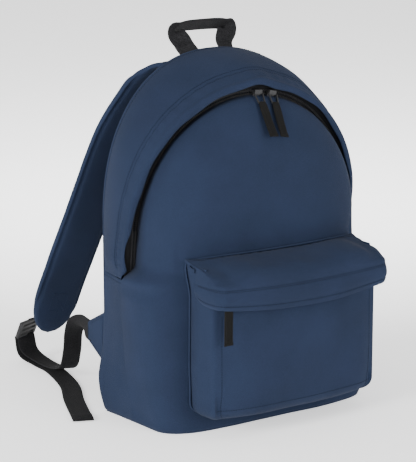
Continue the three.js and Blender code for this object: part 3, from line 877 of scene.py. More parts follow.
def hood_profile(v):
    """The middle line of the hood, from its seam (0) over the soft ridge to the stitch line (1)."""
    seam_y = wall_y(0, 0.2) - 0.5 * MM
    points = [Vector((seam_y - back * MM, z * MM)) for back, z in ((0, 202.6), (6, 205.0), (18, 204.4))]
    points += [Vector(place) * MM for place in HOOD_RIDGE]
    last = len(points) - 1
    k = min(int(v * last), last - 1)
    before, after = points[max(k - 1, 0)], points[min(k + 2, last)]
    return smooth_between(before, points[k], points[k + 1], after, v * last - k)


def hood_plan(u):
    """Where u lies round the skirt: its x, how far back it is, and its share of the side return."""
    flat = HOOD_WIDE - HOOD_CORNER
    arc = HOOD_CORNER * math.pi / 2
    total = flat + arc + HOOD_RETURN
    run = abs(u - 0.5) * 2 * total
    side = -1 if u < 0.5 else 1
    if run <= flat:
        return side * run, HOOD_CROWN * (run / flat) ** 4, 0.0
    if run <= flat + arc:
        angle = (run - flat) / HOOD_CORNER
        x = flat + HOOD_CORNER * math.sin(angle)
        return side * x, HOOD_CROWN + HOOD_CORNER * (1 - math.cos(angle)), 0.0
    share = (run - flat - arc) / HOOD_RETURN
    return side * HOOD_WIDE, HOOD_CROWN + HOOD_CORNER + share * HOOD_RETURN, share


def hood_top_point(x, back, v):
    """The top panel and its front ridge, from the bag (v 0) to the stitch line (v 1)."""
    y, z = hood_profile(v)
    near = smoothstep(0.55, 1.0, abs(x) / HOOD_WIDE)
    if v < 0.01:
        return Vector((x, wall_y(x, z) - 0.5 * MM, z - 2.5 * MM * near))
    down = smoothstep(0.0, 0.9, v)
    wall = wall_y(x, z) - wall_y(0, z)
    y += lerp(wall, back, smoothstep(0.0, 0.5, v))
    droop = near * 8.5 * MM * smoothstep(0.0, 0.3, v) * smoothstep(1.0, 0.6, v)
    sag = 3.4 * MM * math.sin(math.pi * v) * (1 - near) * (0.6 + 0.4 * math.cos(x * 31 + 0.6))
    crease = wobble((x, y, 0), 17, 3.2 * MM, 1.0) + wobble((x, y, z), 44, 1.1 * MM, 7.0)
    crease *= math.sin(math.pi * v)
    pucker = 0.5 * MM * math.sin(x * 620 + 2 * math.sin(x * 90)) * hump(v, 0.12, 0.07)
    gather = 1.5 * MM * hump(abs(x), 100 * MM, 7 * MM) * math.sin(math.pi * v) ** 2
    end = 3.5 * MM * down * (x / HOOD_WIDE) ** 2
    return Vector((x, y, z - droop - sag * 0.7 + crease + pucker - gather + end))


def hem_height(x, share):
    """The lower edge of the hood's skirt, which arches up towards its corners."""
    rounded = 7 * MM * share ** 3
    return (148.6 + 7.4 * min(abs(x) / (105 * MM), 1.1) ** 2) * MM + rounded


def hood_side(top, side, v, share):
    """The hood's upper cloth on the side return, from the corner (share 0) to its back end (1)."""
    y_end = STORM_FACE_Y + HOOD_CROWN + HOOD_CORNER + HOOD_RETURN
    if v < HOOD_STITCH_V:
        height = lerp(HOOD_TOP_Z, 179 * MM, v / HOOD_STITCH_V)
    else:
        height = min(top.z, HOOD_TOP_Z)
    far = Vector((side * (HOOD_WIDE + 0.5 * MM), y_end, height))
    place = top.lerp(far, share)
    place.x += side * 1.6 * MM * math.sin(math.pi * share) * smoothstep(0.1, 0.6, v)
    return place


def hood_point(u, v):
    """The hood's cloth: u round its skirt from left to right, v from its seam (0) to the hem (1)."""
    x, back, share = hood_plan(u)
    side = math.copysign(1, x)
    top = hood_top_point(x, back - share * HOOD_RETURN, min(v / HOOD_STITCH_V, 1))
    if share > 0:
        top = hood_side(top, side, v, share)
    if v <= HOOD_STITCH_V:
        return top
    drop = (v - HOOD_STITCH_V) / (1 - HOOD_STITCH_V)
    wave = 1.6 * MM * math.sin(x * 33 + 1.0) * drop + wobble((x, 0, drop * 0.03), 22, 1.6 * MM, 15.0)
    puff = 2.2 * MM * math.sin(math.pi * drop) + wave * smoothstep(0.0, 0.2, drop)
    corner = smoothstep(HOOD_WIDE - HOOD_CORNER, HOOD_WIDE, abs(x))
    out = Vector((side, 0, 0)) if share > 0 else Vector((side * corner, corner - 1, 0)).normalized()
    place = top + out * (puff - 0.7 * MM * hump(drop, 0.72, 0.06))
    place.z = lerp(top.z, hem_height(x, share), drop)
    return place


def sew(name, surface, rows, centre, **how):
    """Rows of stitches on a surface, each a list of (u, v), on the side away from the centre."""
    sewn = Thread()
    for row in rows:
        places = [Vector(surface(u, v)) for u, v in row]
        outs = [normal_of(surface, u, v) for u, v in row]
        outs = [out if out.dot(place - centre) > 0 else -out for place, out in zip(places, outs)]
        sewn.row(places, outs, **how)
    return sewn.make(name, "dark_thread")


def level(v, start, end, count=160):
    """A row at one height of a surface, as (u, v) pairs."""
    return [(u, v) for u in np.linspace(start, end, count)]


LIFT_BODIES = ("bag", "storm_flap")
LIFT_FOLD = ((0, -0.1276, 0.1865), (0, -0.1276, 0.1715))
SEAM_STITCH = {"pitch": 3.0 * MM, "radius": 0.3 * MM}


def build_pocket():
    width = 2 * (POCKET_HALF + 50 * MM)
    pocket = grid("pocket_cloth", pocket_point, POCKET_COLUMNS, POCKET_ROWS, "navy", (width, 0.19),
                  keep=pocket_keep)
    belongs(pocket, "bag", "navy_fabric",
            "pocket_gusset", "pocket_front_panel", "pocket_piping_left", "pocket_piping_right")
    soften(pocket, 0.5 * MM)
    edge = [(POCKET_SIDE_SHARE + 0.045, v) for v in np.linspace(0.16, 0.78, 90)]
    foot = level(0.235, POCKET_SIDE_SHARE + 0.03, 1 - POCKET_SIDE_SHARE - 0.03)
    rows = [edge, [(1 - u, v) for u, v in edge], foot]
    belongs(sew("pocket_stitches", pocket_point, rows, POCKET_CENTRE, **SEAM_STITCH), "bag", "navy_fabric")


def build_hood():
    hood = grid("pocket_hood_cloth", lambda u, v: hood_point(u, 1 - v), HOOD_COLUMNS, HOOD_ROWS, "navy",
                (0.32, 0.12), thickness=1.9 * MM)
    bends(hood, LIFT_BODIES, LIFT_FOLD, "navy_fabric", "pocket_hood", "pocket_storm_flap")
    soften(hood, 0.5 * MM)
    seam = [level(v, 0.14, 0.86) for v in (0.045, 0.085)]
    belongs(sew("hood_seam_stitches", hood_point, seam, HOOD_CENTRE, pitch=2.6 * MM), "bag", "navy_fabric")
    skirt = [level(v, 0.02, 0.98) for v in (HOOD_STITCH_V - 0.01, HOOD_STITCH_V + 0.02, 0.925)]
    skirt_rows = sew("hood_skirt_stitches", hood_point, skirt, HOOD_CENTRE, **SEAM_STITCH)
    bends(skirt_rows, LIFT_BODIES, LIFT_FOLD, "navy_fabric")


def build_pocket_piping():
    """A thin sewn cord where the pocket meets the bag: up one side, over the hood's seam and down again."""
    half = POCKET_HALF + 3 * MM
    foot_z = 24 * MM
    left = [Vector((-(POCKET_HALF - 8 * MM), wall_y(POCKET_HALF, foot_z) - 1 * MM, foot_z))]
    left += [Vector((-half, wall_y(half, z) - 1 * MM, z)) for z in np.linspace(34 * MM, 188 * MM, 8)]
    left += [Vector((-(HOOD_WIDE - 3 * MM), wall_y(HOOD_WIDE, 198 * MM) - 1.5 * MM, 198.5 * MM))]
    top = []
    for x in np.linspace(-104 * MM, 104 * MM, 9):
        fall = 2.5 * MM * smoothstep(0.55, 1, abs(x) / HOOD_WIDE)
        top.append(Vector((x, wall_y(x, 203.5 * MM) - 1 * MM, 204.5 * MM - fall)))
    route = left + top + [Vector((-p.x, p.y, p.z)) for p in reversed(left)]
    turns = np.linspace(0, 2 * math.pi, 9)[:-1]
    section = [(PIPING_RADIUS * math.cos(a), PIPING_RADIUS * math.sin(a)) for a in turns]
    piping, _ = sweep("pocket_piping_cord", route, lambda share: (0, 1, 0), PIPING_STEPS,
                      lambda share: section, "navy")
    belongs(piping, "bag", "navy_fabric")


build_pocket()
build_hood()
build_pocket_piping()


# ------------------------------------------------------------------ seams of the main body
BAG_CENTRE = Vector((0, 0.01, 0.2))


def build_seams():
    """Rows of stitches: two beside the lip, one along the back seam and one on each side seam."""
    rows = [level(0.79, 0.03, 0.97, 260), level(0.845, 0.03, 0.97, 260), level(0.055, 0.01, 0.99, 260)]
    belongs(sew("gusset_stitches", gusset_at, rows, BAG_CENTRE, **SEAM_STITCH), "bag", "navy_fabric")
    row = level(SEAM_Z - 4.5 * MM, 0.02, 0.98, 60)
    for side, name in SIDES:
        seam = sew(f"side_seam_stitches_{name}", lambda u, v: side_point(side, u, v), [row], BAG_CENTRE,
                   **SEAM_STITCH)
        belongs(seam, "bag", "navy_fabric")


build_seams()


# ------------------------------------------------------------------ main zip
COIL_PITCH = 1.9 * MM
TAPE_INNER_EDGE = 137.5 * MM
TAPE_OUTER_EDGE = 159 * MM
COIL_HALF = 1.7 * MM
TOOTH_RING = [(0.0, 1.0), (0.75, 0.6), (1.0, -0.2), (0.0, -0.7), (-1.0, -0.2), (-0.75, 0.6)]
TOOTH_SWELL = ((-1.0, 0.75), (-0.4, 1.0), (0.6, 0.95), (1.0, 0.5))


def arch_tape(name, near, far):
    def surface(u, v):
        lift = 0.2 * MM * math.sin(u * 61) * (1 - abs(2 * v - 1))
        return arch_at(u, lerp(near, far, v), -1.4 * MM + lift)
    return grid(name, surface, 200, 4, "tape", (0.57, abs(far - near)), thickness=0.8 * MM)


def coil(name, stations, hooked):
    """Rounded zip teeth reaching towards the other half of the zip. A station is a tooth's place and its
    directions along the zip, across it and outward."""
    points, faces, uvs = [], [], []
    count, rings = len(TOOTH_RING), len(TOOTH_SWELL)
    for place, ahead, across, out in stations:
        start = len(points)
        for reach, swell in TOOTH_SWELL:
            middle = place + across * (reach * COIL_HALF * hooked)
            for along, up in TOOTH_RING:
                points.append(middle + ahead * (along * 0.62 * MM * swell) + out * (up * 0.95 * MM * swell))
                uvs.append((reach, up))
        faces += ring_faces(rings - 1, count, start)
        faces.append(tuple(start + n for n in reversed(range(count))))
        faces.append(tuple(start + (rings - 1) * count + n for n in range(count)))
    return tidy(mesh_object(name, points, faces, "teeth", uvs), merge=0.0)


def arch_coil(name, radius, hooked):
    count = int((2 * LEG + math.pi * ZIP_RADIUS) / COIL_PITCH)
    stations = []
    for k in range(count):
        s = (k + 0.5) / count
        ahead = (arch_at(s + 1e-3, radius) - arch_at(s - 1e-3, radius)).normalized()
        across = (arch_at(s, radius + MM) - arch_at(s, radius)).normalized()
        stations.append((arch_at(s, radius, -0.6 * MM), ahead, across, ARCH_OUT))
    return coil(name, stations, hooked)


def build_main_zip():
    outer = arch_tape("zip_tape_outer_woven", TAPE_OUTER_EDGE, ZIP_RADIUS + 2.0 * MM)
    inner = arch_tape("zip_tape_inner_woven", ZIP_RADIUS - 2.0 * MM, TAPE_INNER_EDGE)
    outer_coil = arch_coil("zip_coil_outer", ZIP_RADIUS + 1.8 * MM, -1)
    inner_coil = arch_coil("zip_coil_inner", ZIP_RADIUS - 1.8 * MM, 1)
    belongs(outer, "bag", "black_webbing", "zip_tape_outer")
    belongs(outer_coil, "bag", "black_plastic", "zip_teeth_outer")
    bends(inner, FLAP_BODIES, FLAP_FOLD, "black_webbing", "zip_tape_inner")
    bends(inner_coil, FLAP_BODIES, FLAP_FOLD, "black_plastic", "zip_teeth_inner")


# ------------------------------------------------------------------ pocket zip
LOWER_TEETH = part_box("pocket_zip_teeth_lower")
POCKET_ZIP_Z = (LOWER_TEETH[1][2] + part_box("pocket_zip_teeth_upper")[0][2]) / 2
POCKET_ZIP_END = LOWER_TEETH[1][0]
POCKET_ZIP_Y = LOWER_TEETH[0][1] + 1.6 * MM
RIGHT = Vector((1, 0, 0))
UP = Vector((0, 0, 1))
FORWARD = Vector((0, -1, 0))


def build_pocket_zip():
    for name, sign in (("lower", -1), ("upper", 1)):
        def surface(u, v):
            x = lerp(-POCKET_ZIP_END, POCKET_ZIP_END, u)
            return Vector((x, POCKET_ZIP_Y + 0.8 * MM, POCKET_ZIP_Z + sign * lerp(2.0, 11, v) * MM))

        tape = grid(f"pocket_tape_{name}", surface, 60, 3, "tape", (0.22, 0.009), thickness=0.8 * MM)
        belongs(tape, "bag", "black_webbing", f"pocket_zip_tape_{name}")
        z = POCKET_ZIP_Z + sign * 1.8 * MM
        stations = [(Vector((x, POCKET_ZIP_Y, z)), RIGHT, UP, FORWARD)
                    for x in np.arange(-POCKET_ZIP_END, POCKET_ZIP_END, COIL_PITCH)]
        teeth = coil(f"pocket_coil_{name}", stations, -sign)
        belongs(teeth, "bag", "black_plastic", f"pocket_zip_teeth_{name}")


# ------------------------------------------------------------------ zip pulls
TAB_START = 15.2 * MM
TAB_END = 59.6 * MM
TAB_WIDTH = 11 * MM
TAB_POINTS = 24
TAB_TILT = math.radians(44)
POCKET_TAB_TILT = math.radians(1)
SLIDER_PLACES = (("left", math.radians(3)), ("right", math.radians(11)))


def tab_section(share):
    """The pull's outline, part of the way (share) from the link to its end."""
    half = TAB_WIDTH / 2 * (1 + 0.10 * smoothstep(0.85, 1.0, share))
    half *= lerp(0.78, 1, smoothstep(0.0, 0.12, share))
    thick = lerp(2.2, 1.15, smoothstep(0.0, 0.14, share)) * MM
    thick *= lerp(1, 0.72, smoothstep(0.86, 1.0, share))
    outline = []
    for k in range(TAB_POINTS):
        turn = 2 * math.pi * k / TAB_POINTS
        x = half * signed_power(math.cos(turn), 0.55)
        groove = 0.45 * hump(x, 0, 0.9 * MM) * smoothstep(0.22, 0.32, share)
        ridge = 0.16 * math.cos(x / half * 4 * math.pi) * smoothstep(0.15, 0.3, share)
        outline.append((x, thick * signed_power(math.sin(turn), 0.6) * (1 - groove + ridge)))
    return outline


def pull_tab(name, pivot, down, face):
    """A woven pull folded over the link's lower bar, with a groove up its middle."""
    side = down.cross(face)
    places = []
    for s in np.linspace(TAB_START, TAB_END, 7):
        places.append(pivot + down * s + face * (0.5 * MM * math.sin(s * 95)))
    tab, _ = sweep(name, places, lambda share: side, 44, tab_section, "pull")
    return tab


def build_pull(names, seat, along, across, out, tilt, body):
    slider, link, tab_node = names
    pivot = seat + across * 1.6 * MM + out * 3.4 * MM
    down = -across * math.cos(tilt) + out * math.sin(tilt)
    face = across * math.sin(tilt) + out * math.cos(tilt)
    belongs(pull_tab(f"{tab_node}_woven", pivot, down, face), body, "pull_cord", tab_node)
    sewn = Thread()
    centre = pivot + down * 24 * MM + face * 1.2 * MM
    hole = []
    for a in np.linspace(0, 2 * math.pi, 17):
        hole.append(centre + (along * math.cos(a) + down * math.sin(a)) * 1.5 * MM)
    sewn.row(hole, [face] * len(hole), pitch=0.9 * MM, length=0.8 * MM, radius=0.3 * MM)
    for edge in (-1, 1):
        beside = pivot + along * edge * 3.9 * MM + face * 1.15 * MM
        line = [beside + down * s * MM for s in (21, 33, 45, 57)]
        sewn.row(line, [face] * len(line), pitch=2.2 * MM, length=1.6 * MM, radius=0.25 * MM)
    belongs(sewn.make(f"{tab_node}_stitches", "black_thread"), body, "pull_cord")
    dress("metal", slider, bevel=0.35 * MM)
    dress("metal", link, bevel=0.45 * MM)


def build_pulls():
    for side, angle in SLIDER_PLACES:
        radial = Vector((math.sin(angle), 0, 0)) + ARCH_UP * math.cos(angle)
        along = Vector((math.cos(angle), 0, 0)) - ARCH_UP * math.sin(angle)
        names = (f"zip_slider_{side}", f"zip_pull_link_{side}", f"zip_pull_tab_{side}")
        seat = ARCH_CENTRE + radial * ZIP_RADIUS
        build_pull(names, seat, along, radial, ARCH_OUT, TAB_TILT, f"zip_tab_{side}")
    low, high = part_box("pocket_slider")
    seat = Vector(((low[0] + high[0]) / 2, LOWER_TEETH[0][1], POCKET_ZIP_Z))
    names = ("pocket_slider", "pocket_pull_link", "pocket_pull_tab")
    build_pull(names, seat, RIGHT, UP, FORWARD, POCKET_TAB_TILT, "pocket_tab")


# ------------------------------------------------------------------ grab handle
HANDLE_PIVOT = Vector((0, 76, 421)) * MM
HANDLE_LEAN = math.radians(26)
HANDLE_FOOT = [(-25.5, 59.5, 403.5), (-26.2, 66.5, 412.5)]
HANDLE_HALF_LINE = [(-28, 0), (-31, 8), (-37, 16), (-36, 22.5), (-24, 25)]


def handle_place(x, reach, across=0.0):
    """A point of the leaning handle: x along the bag, reach up the handle and across it, in millimetres."""
    up = Vector((0, math.sin(HANDLE_LEAN), math.cos(HANDLE_LEAN)))
    back = Vector((0, math.cos(HANDLE_LEAN), -math.sin(HANDLE_LEAN)))
    return HANDLE_PIVOT + (Vector((x, 0, 0)) + up * reach + back * across) * MM


HANDLE_BODIES = ("bag", "grab_handle")
HANDLE_FOLD = (tuple(handle_place(0, 0)), tuple(handle_place(0, 7)))


def build_handle():
    half = [Vector(place) * MM for place in HANDLE_FOOT]
    half += [handle_place(x, reach) for x, reach in HANDLE_HALF_LINE]
    points = half + [handle_place(0, 25.5)] + [Vector((-p.x, p.y, p.z)) for p in reversed(half)]
    bridge = (handle_place(0, -0.17, 0.985) - HANDLE_PIVOT).normalized()

    def across(share):
        side = 1 if share < 0.5 else -1
        twist = smoothstep(0.20, 0.37, min(share, 1 - share))
        flat = Vector((0.95 * side, 0, 0.3)).normalized()
        return flat.lerp(bridge, twist)

    def section(share):
        pinch = 1 - 0.05 * hump(min(share, 1 - share), 0.3, 0.05)
        return flat_section(WEBBING_WIDTH * pinch, 2.0 * MM)

    handle, _ = sweep("grab_handle_webbing", points, across, 120, section, "handle")
    bends(handle, HANDLE_BODIES, HANDLE_FOLD, "black_webbing", "grab_handle")
    sewn = Thread()
    out = Vector((0, -1, 0.4)).normalized()
    for side in (-1, 1):
        for height in (2.0, 4.6):
            line = [handle_place(side * x, height + (28 - x) * 0.3, -1.15) for x in (17.5, 28, 38.5)]
            sewn.row(line, [out] * len(line), pitch=2.6 * MM)
    bends(sewn.make("grab_handle_stitches", "black_thread"), HANDLE_BODIES, HANDLE_FOLD, "black_webbing")


# ------------------------------------------------------------------ shoulder straps
# Routes of the left side, in mm
STRAP_ROUTE = [(-51, 66, 403), (-56, 80, 397), (-64, 106, 373), (-78, 144, 317), (-92, 178, 235),
               (-102, 216, 155), (-112, 246, 85), (-115, 256, 58), (-116.5, 260.5, 45)]
STRAP_STEPS = 130
STRAP_POINTS = 40
STRAP_END_RUN = 0.15
STRAP_FOLD = ((0, 0.082, 0.392), (0, 0.100, 0.366))


def mirrored(points, side):
    """A route of the left side in metres, mirrored where side is 1."""
    return [Vector((-side * x, y, z)) * MM for x, y, z in points]


def strap_half_width(share, edge):
    """Half of the strap's width on one edge. It narrows to a rounded end that leans outward."""
    root = lerp(0.62, 1.0, smoothstep(0.0, 0.12, share))
    run = STRAP_END_RUN * (0.8 if edge < 0 else 1.25)
    past = max(share - (1 - run), 0) / run
    return STRAP_WIDTH / 2 * root * max(math.sqrt(max(1 - past ** 2.3, 0)), 0.02)


def strap_section(share, side):
    """The pad's outline: crowned, with a pressed seam near each edge."""
    wide = [strap_half_width(share, -1), strap_half_width(share, 1)]
    thick = lerp(3.2, 6.2, smoothstep(0.0, 0.10, share)) * MM
    thick *= lerp(0.35, 1, math.sqrt(max(1 - (max(share - 0.93, 0) / 0.07) ** 2, 0)))
    outline = []
    for k in range(STRAP_POINTS):
        turn = 2 * math.pi * k / STRAP_POINTS
        x = wide[0 if math.cos(turn) * side < 0 else 1] * signed_power(math.cos(turn), 0.62)
        reach = abs(x) / (STRAP_WIDTH / 2)
        seam = 1 - 0.42 * hump(reach, 0.88, 0.055)
        crown = thick * (1 + 0.12 * math.cos(reach * math.pi / 2))
        outline.append((x, crown * signed_power(math.sin(turn), 0.55) * seam))
    return outline


def build_strap(side, name):
    pad, line = sweep(f"strap_pad_{name}_padded", mirrored(STRAP_ROUTE, side), lambda share: (1, 0, 0),
                      STRAP_STEPS, lambda share: strap_section(share, side), "navy")
    for vertex in pad.data.vertices:
        p = vertex.co
        ripple = wobble(p, 16, 1.8 * MM, 20.0 + side) + wobble(p, 42, 0.7 * MM, 3.0)
        p.y += ripple * smoothstep(0.40, 0.36, p.z)
    bends(pad, ("bag", f"strap_{name}"), STRAP_FOLD, "navy_fabric", f"strap_pad_{name}")
    sew_strap(pad, line, side, name)


def ray_caster(obj):
    """Finds the point and outward direction where a ray towards a place meets the object."""
    mesh = obj.data
    shape = BVHTree.FromPolygons([v.co for v in mesh.vertices], [p.vertices for p in mesh.polygons])

    def cast(place, way):
        hit, normal, _, _ = shape.ray_cast(place - way * 50 * MM, way)
        return hit, normal

    return cast


def sew_strap(pad, line, side, name):
    """Rows of stitches along both edges of both faces, and a crossed box at the strap's lower end."""
    cast = ray_caster(pad)
    sewn = Thread()

    def station(share):
        k = min(max(round(share * STRAP_STEPS), 1), STRAP_STEPS - 1)
        ahead = (line[k + 1] - line[k - 1]).normalized()
        wide = (RIGHT - ahead * ahead.x).normalized()
        return line[k], wide, ahead.cross(wide)

    def sew_line(face, line_points, pitch):
        """line_points are pairs: a share of the strap's length and the distance across from its middle."""
        places, outs = [], []
        for share, distance in line_points:
            middle, wide, out = station(share)
            place, normal = cast(middle + wide * distance, -out * face)
            if place is not None:
                places.append(place)
                outs.append(normal)
        sewn.row(places, outs, pitch=pitch)

    shares = np.linspace(0.10, 0.985, 120)
    box = [(-0.5, -1), (0.5, -1), (0.5, 1), (-0.5, 1), (-0.5, -1), (0.5, 1)]
    box_line = []
    for (x0, y0), (x1, y1) in zip(box, box[1:]):
        for t in np.linspace(0, 1, 10):
            box_line.append((0.885 + 0.028 * lerp(y0, y1, t), lerp(x0, x1, t) * 22 * MM))
    for face in (-1, 1):
        for edge in (-1, 1):
            halves = [max(strap_half_width(share, edge * side) - 4 * MM, 0) for share in shares]
            sew_line(face, [(share, edge * half) for share, half in zip(shares, halves)], 3.2 * MM)
        sew_line(face, box_line, 2.8 * MM)
    rows = sewn.make(f"strap_stitches_{name}")
    bends(rows, ("bag", f"strap_{name}"), STRAP_FOLD, "navy_fabric")


# ------------------------------------------------------------------ strap webbing, locks and anchor tabs
ADJUSTER = [(-130.5, 290.7, 36.6), (-127, 286, 16), (-121, 262, 6.5), (-122, 225, 7.5), (-130, 185, 20),
            (-137, 163, 46), (-141, 152, 72), (-145, 136, 88), (-149, 115, 93), (-151.5, 101, 91.5),
            (-152.8, 88, 90)]
TAIL = [(-131.5, 295.1, 36), (-128, 292, 11), (-121, 266, 1.9), (-123, 228, 1.9), (-140, 165, 1.9),
        (-166, 110, 1.9), (-195, 40, 1.9)]
LOCK_LOOP = [(-112, 259, 66), (-117, 268, 63), (-121.5, 274, 60.6), (-125, 279.2, 58.4)]
TAIL_HEM = [(-188.5, 56.5, 3.5), (-195.2, 40.4, 3.5)]
FREE_WEBBING = 1.5 * MM
FREE_STEPS = 110
ADJUSTER_FOLD = ((0, 0.262, 0.02), (0, 0.150, 0.07))
TAIL_FOLD = ((0, 0.285, 0.012), (0, 0.235, 0.0))


def build_strap_webbing(side, name):
    strap = f"strap_{name}"
    lying = Vector((1, 0, 0.12 * side))
    upright = Vector((-0.1, 0.42 * side, 0.9 * side))

    def along(share):
        return RIGHT

    def turned(share):
        return lying.lerp(upright, smoothstep(0.72, 0.96, share))

    held = webbing(f"adjuster_webbing_{name}_woven", mirrored(ADJUSTER, side), turned,
                   FREE_WEBBING, FREE_STEPS)
    bends(held, (strap, "bag"), ADJUSTER_FOLD, "black_webbing", f"adjuster_webbing_{name}")
    tail = webbing(f"webbing_tail_{name}_woven", mirrored(TAIL, side), along, FREE_WEBBING, FREE_STEPS)
    bends(tail, (strap, "bag"), TAIL_FOLD, "black_webbing", f"webbing_tail_{name}")
    hem = webbing(f"webbing_tail_hem_{name}", mirrored(TAIL_HEM, side), along, 1.4 * MM, 8)
    belongs(hem, "bag", "black_webbing")
    loop = webbing(f"ladder_lock_loop_{name}_woven", mirrored(LOCK_LOOP, side), along, 1.8 * MM, 20)
    belongs(loop, strap, "black_webbing", f"ladder_lock_loop_{name}")
    sewn = Thread()
    # Stitches named after one side are on the other side's tail, and both stay on the bag
    for y, x in ((42.5, -194), (48.5, -191.48)):
        line = mirrored([(x + shift, y, 4.2) for shift in (11, 0, -11)], -side)
        sewn.row(line, [UP] * len(line), pitch=2.4 * MM)
    belongs(sewn.make(f"webbing_hem_stitches_{name}", "black_thread"), "bag", "black_webbing")
    dress("plastic", f"ladder_lock_{name}", bevel=0.8 * MM)


# An anchor tab's outline seen from the side: distance from the bag and down from its top, in mm
TAB_OUTLINE = [(-4, 0), (33, -19), (36, -22), (36, -42), (33, -45), (-4, -66)]
TAB_RINGS = 8


def tab_rim(name):
    """Points round the edge of the folded cloth triangle."""
    low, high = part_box(f"anchor_tab_{name}")
    middle_x = (low[0] + high[0]) / 2
    corners = [Vector((middle_x, low[1] + y * MM, high[2] + z * MM)) for y, z in TAB_OUTLINE]
    rim = []
    for a, b in zip(corners, corners[1:] + corners[:1]):
        rim += [a.lerp(b, t) for t in np.linspace(0, 1, 13)[:-1]]
    return rim


def build_anchor_tab(name):
    """The folded cloth triangle at the side seam: two layers, sewn round its edge."""
    rim = tab_rim(name)
    centre = sum(rim, Vector()) / len(rim)
    points, faces, uvs = [], [], []
    for face in (-1, 1):
        faces += ring_faces(TAB_RINGS, len(rim), len(points))
        for ring in range(TAB_RINGS + 1):
            share = ring / TAB_RINGS
            depth = 1.5 * MM * math.sqrt(max(1 - (1 - min(share * 4, 1)) ** 2, 0))
            depth -= 0.4 * MM * hump(share, 0.24, 0.07)
            for p in rim:
                place = p.lerp(centre, share)
                place.x += face * (depth + wobble(place, 50, 0.35 * MM, 4.0) * share)
                points.append(place)
                uvs.append((place.y, place.z))
    tab = tidy(mesh_object(f"anchor_tab_{name}_cloth", points, faces, "navy", uvs), merge=0.05 * MM)
    belongs(tab, "bag", "navy_fabric", f"anchor_tab_{name}")
    sewn = Thread()
    for face in (-1, 1):
        inner = [p.lerp(centre, 0.22) + RIGHT * face * 1.3 * MM for p in rim]
        sewn.row(inner + inner[:1], [RIGHT * face] * (len(rim) + 1), pitch=2.8 * MM)
    belongs(sewn.make(f"anchor_tab_stitches_{name}"), "bag", "navy_fabric")


# ------------------------------------------------------------------ base, lining and foam
BASE_EDGE_Z = 1.2 * MM
BASE_RINGS = 14


def build_base():
    """The base cloth under the bag, filled in from its outline."""
    left = [side_point(-1, 1 - i / 12, BASE_EDGE_Z) for i in range(12)]
    outline = left + [front_shell_point(s, BASE_EDGE_Z) for s in front_shares()[::2]]
    outline += [Vector((-p.x, p.y, p.z)) for p in reversed(left)]
    points, uvs = [], []
    for ring in range(BASE_RINGS + 1):
        share = ring / BASE_RINGS
        for p in outline:
            place = Vector((p.x * (1 - share), p.y * (1 - share), 0.0))
            place.z = 0.5 * MM + 0.9 * MM * (1 - share) ** 6 + wobble(place, 20, 0.3 * MM, 30.0)
            points.append(place)
            uvs.append((place.x, place.y))
    faces = [(a, d, c, b) for a, b, c, d in ring_faces(BASE_RINGS, len(outline))]
    base = tidy(mesh_object("base_cloth", points, faces, "navy", uvs), merge=0.05 * MM, outward=False)
    solidify(base, 2 * MM, offset=1.0)
    belongs(base, "bag", "navy_fabric", "base_panel")


def dress_inside():
    """The CAD pieces inside the bag and under the straps stay, with cloth or foam on them."""
    dress("navy_inside", "back_lining", bevel=0.4 * MM)
    dress("navy", "strap_anchor_band", bevel=0.4 * MM)
    dress("foam", "back_foam_pad", "base_stiffener", bevel=1.0 * MM)


build_base()
dress_inside()
build_main_zip()
build_pocket_zip()
build_pulls()
build_handle()
for one_side in SIDES:
    build_strap(*one_side)
    build_strap_webbing(*one_side)
    build_anchor_tab(one_side[1])


# ------------------------------------------------------------------ camera, floor and light
AZIMUTH = math.radians(-34.6)
ELEVATION = math.radians(12.81)
TURN = Matrix.Rotation(AZIMUTH, 3, "Z")
CAMERA_DISTANCE = 2.227
CAMERA_TARGET = Vector((-0.0475, 0.0, 0.2154))
LENS = 149.6
FLOOR_HALF = 9.0
FLOOR_GLOW = 0.8
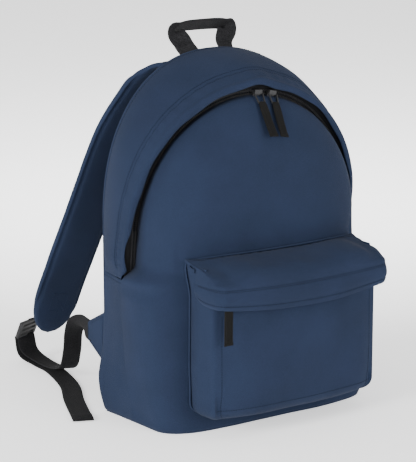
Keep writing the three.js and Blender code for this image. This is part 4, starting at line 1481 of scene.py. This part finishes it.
# Each disc lamp: where it is, where it aims, its diameter in metres and its power in watts
LAMPS = {
    "key": (Vector((-2.9, -0.5, 1.1)), Vector((0, 0, 0.25)), 1.1, 105),
    "fill": (Vector((1.2, -2.9, 1.0)), Vector((0, 0, 0.25)), 1.6, 56),
    "top": (Vector((0.3, -0.4, 2.8)), Vector((0, 0, 0.2)), 1.6, 10),
    "backdrop": (TURN @ Vector((0, 0.75, 1.25)), TURN @ Vector((0, 1.8, 0.85)), 1.0, 60),
}


def build_floor():
    """A pale floor, flat and wide enough that the bag can be seen from any side."""
    MATERIALS["floor"] = moulded("pale_floor", (0.93, 0.93, 0.935), 0.9, grain=60.0)
    shader = MATERIALS["floor"].node_tree.nodes["Principled BSDF"]
    shader.inputs["Emission Color"].default_value = (1, 1, 1, 1)
    shader.inputs["Emission Strength"].default_value = FLOOR_GLOW
    ends = (-FLOOR_HALF, FLOOR_HALF)
    corners = [Vector((x, y, 0)) for y in ends for x in ends]
    floor = mesh_object("floor", corners, [(0, 1, 3, 2)], "floor", [(p.x, p.y) for p in corners])


def build_lamp(name, place, aim, size, power):
    data = bpy.data.lights.new(name, "AREA")
    data.shape = "DISK"
    data.size = size
    data.energy = power
    lamp = bpy.data.objects.new(name, data)
    lamp.location = place
    lamp.rotation_euler = (aim - place).to_track_quat("-Z", "Y").to_euler()
    bpy.context.scene.collection.objects.link(lamp)


def build_camera():
    data = bpy.data.cameras.new("camera")
    data.lens = LENS
    data.sensor_width = 36
    data.clip_end = 30
    cam = bpy.data.objects.new("camera", data)
    back = TURN @ Vector((0, -math.cos(ELEVATION), math.sin(ELEVATION)))
    cam.location = CAMERA_TARGET + back * CAMERA_DISTANCE
    cam.rotation_euler = (-back).to_track_quat("-Z", "Y").to_euler()
    bpy.context.scene.collection.objects.link(cam)
    bpy.context.scene.camera = cam


def build_world():
    """An even white studio that is brighter at the horizon than overhead."""
    world = bpy.data.worlds.new("studio")
    world.use_nodes = True
    tree = world.node_tree
    background = tree.nodes["Background"]
    background.inputs["Color"].default_value = (1, 1, 1, 1)
    height = node(tree, "ShaderNodeSeparateXYZ")
    tree.links.new(node(tree, "ShaderNodeTexCoord").outputs["Generated"], height.inputs[0])
    tree.links.new(ramp(tree, height.outputs["Z"], 0.0, 0.8, 1.65, 0.75), background.inputs["Strength"])
    bpy.context.scene.world = world


build_camera()
build_floor()
build_world()
for lamp_name, values in LAMPS.items():
    build_lamp(lamp_name, *values)
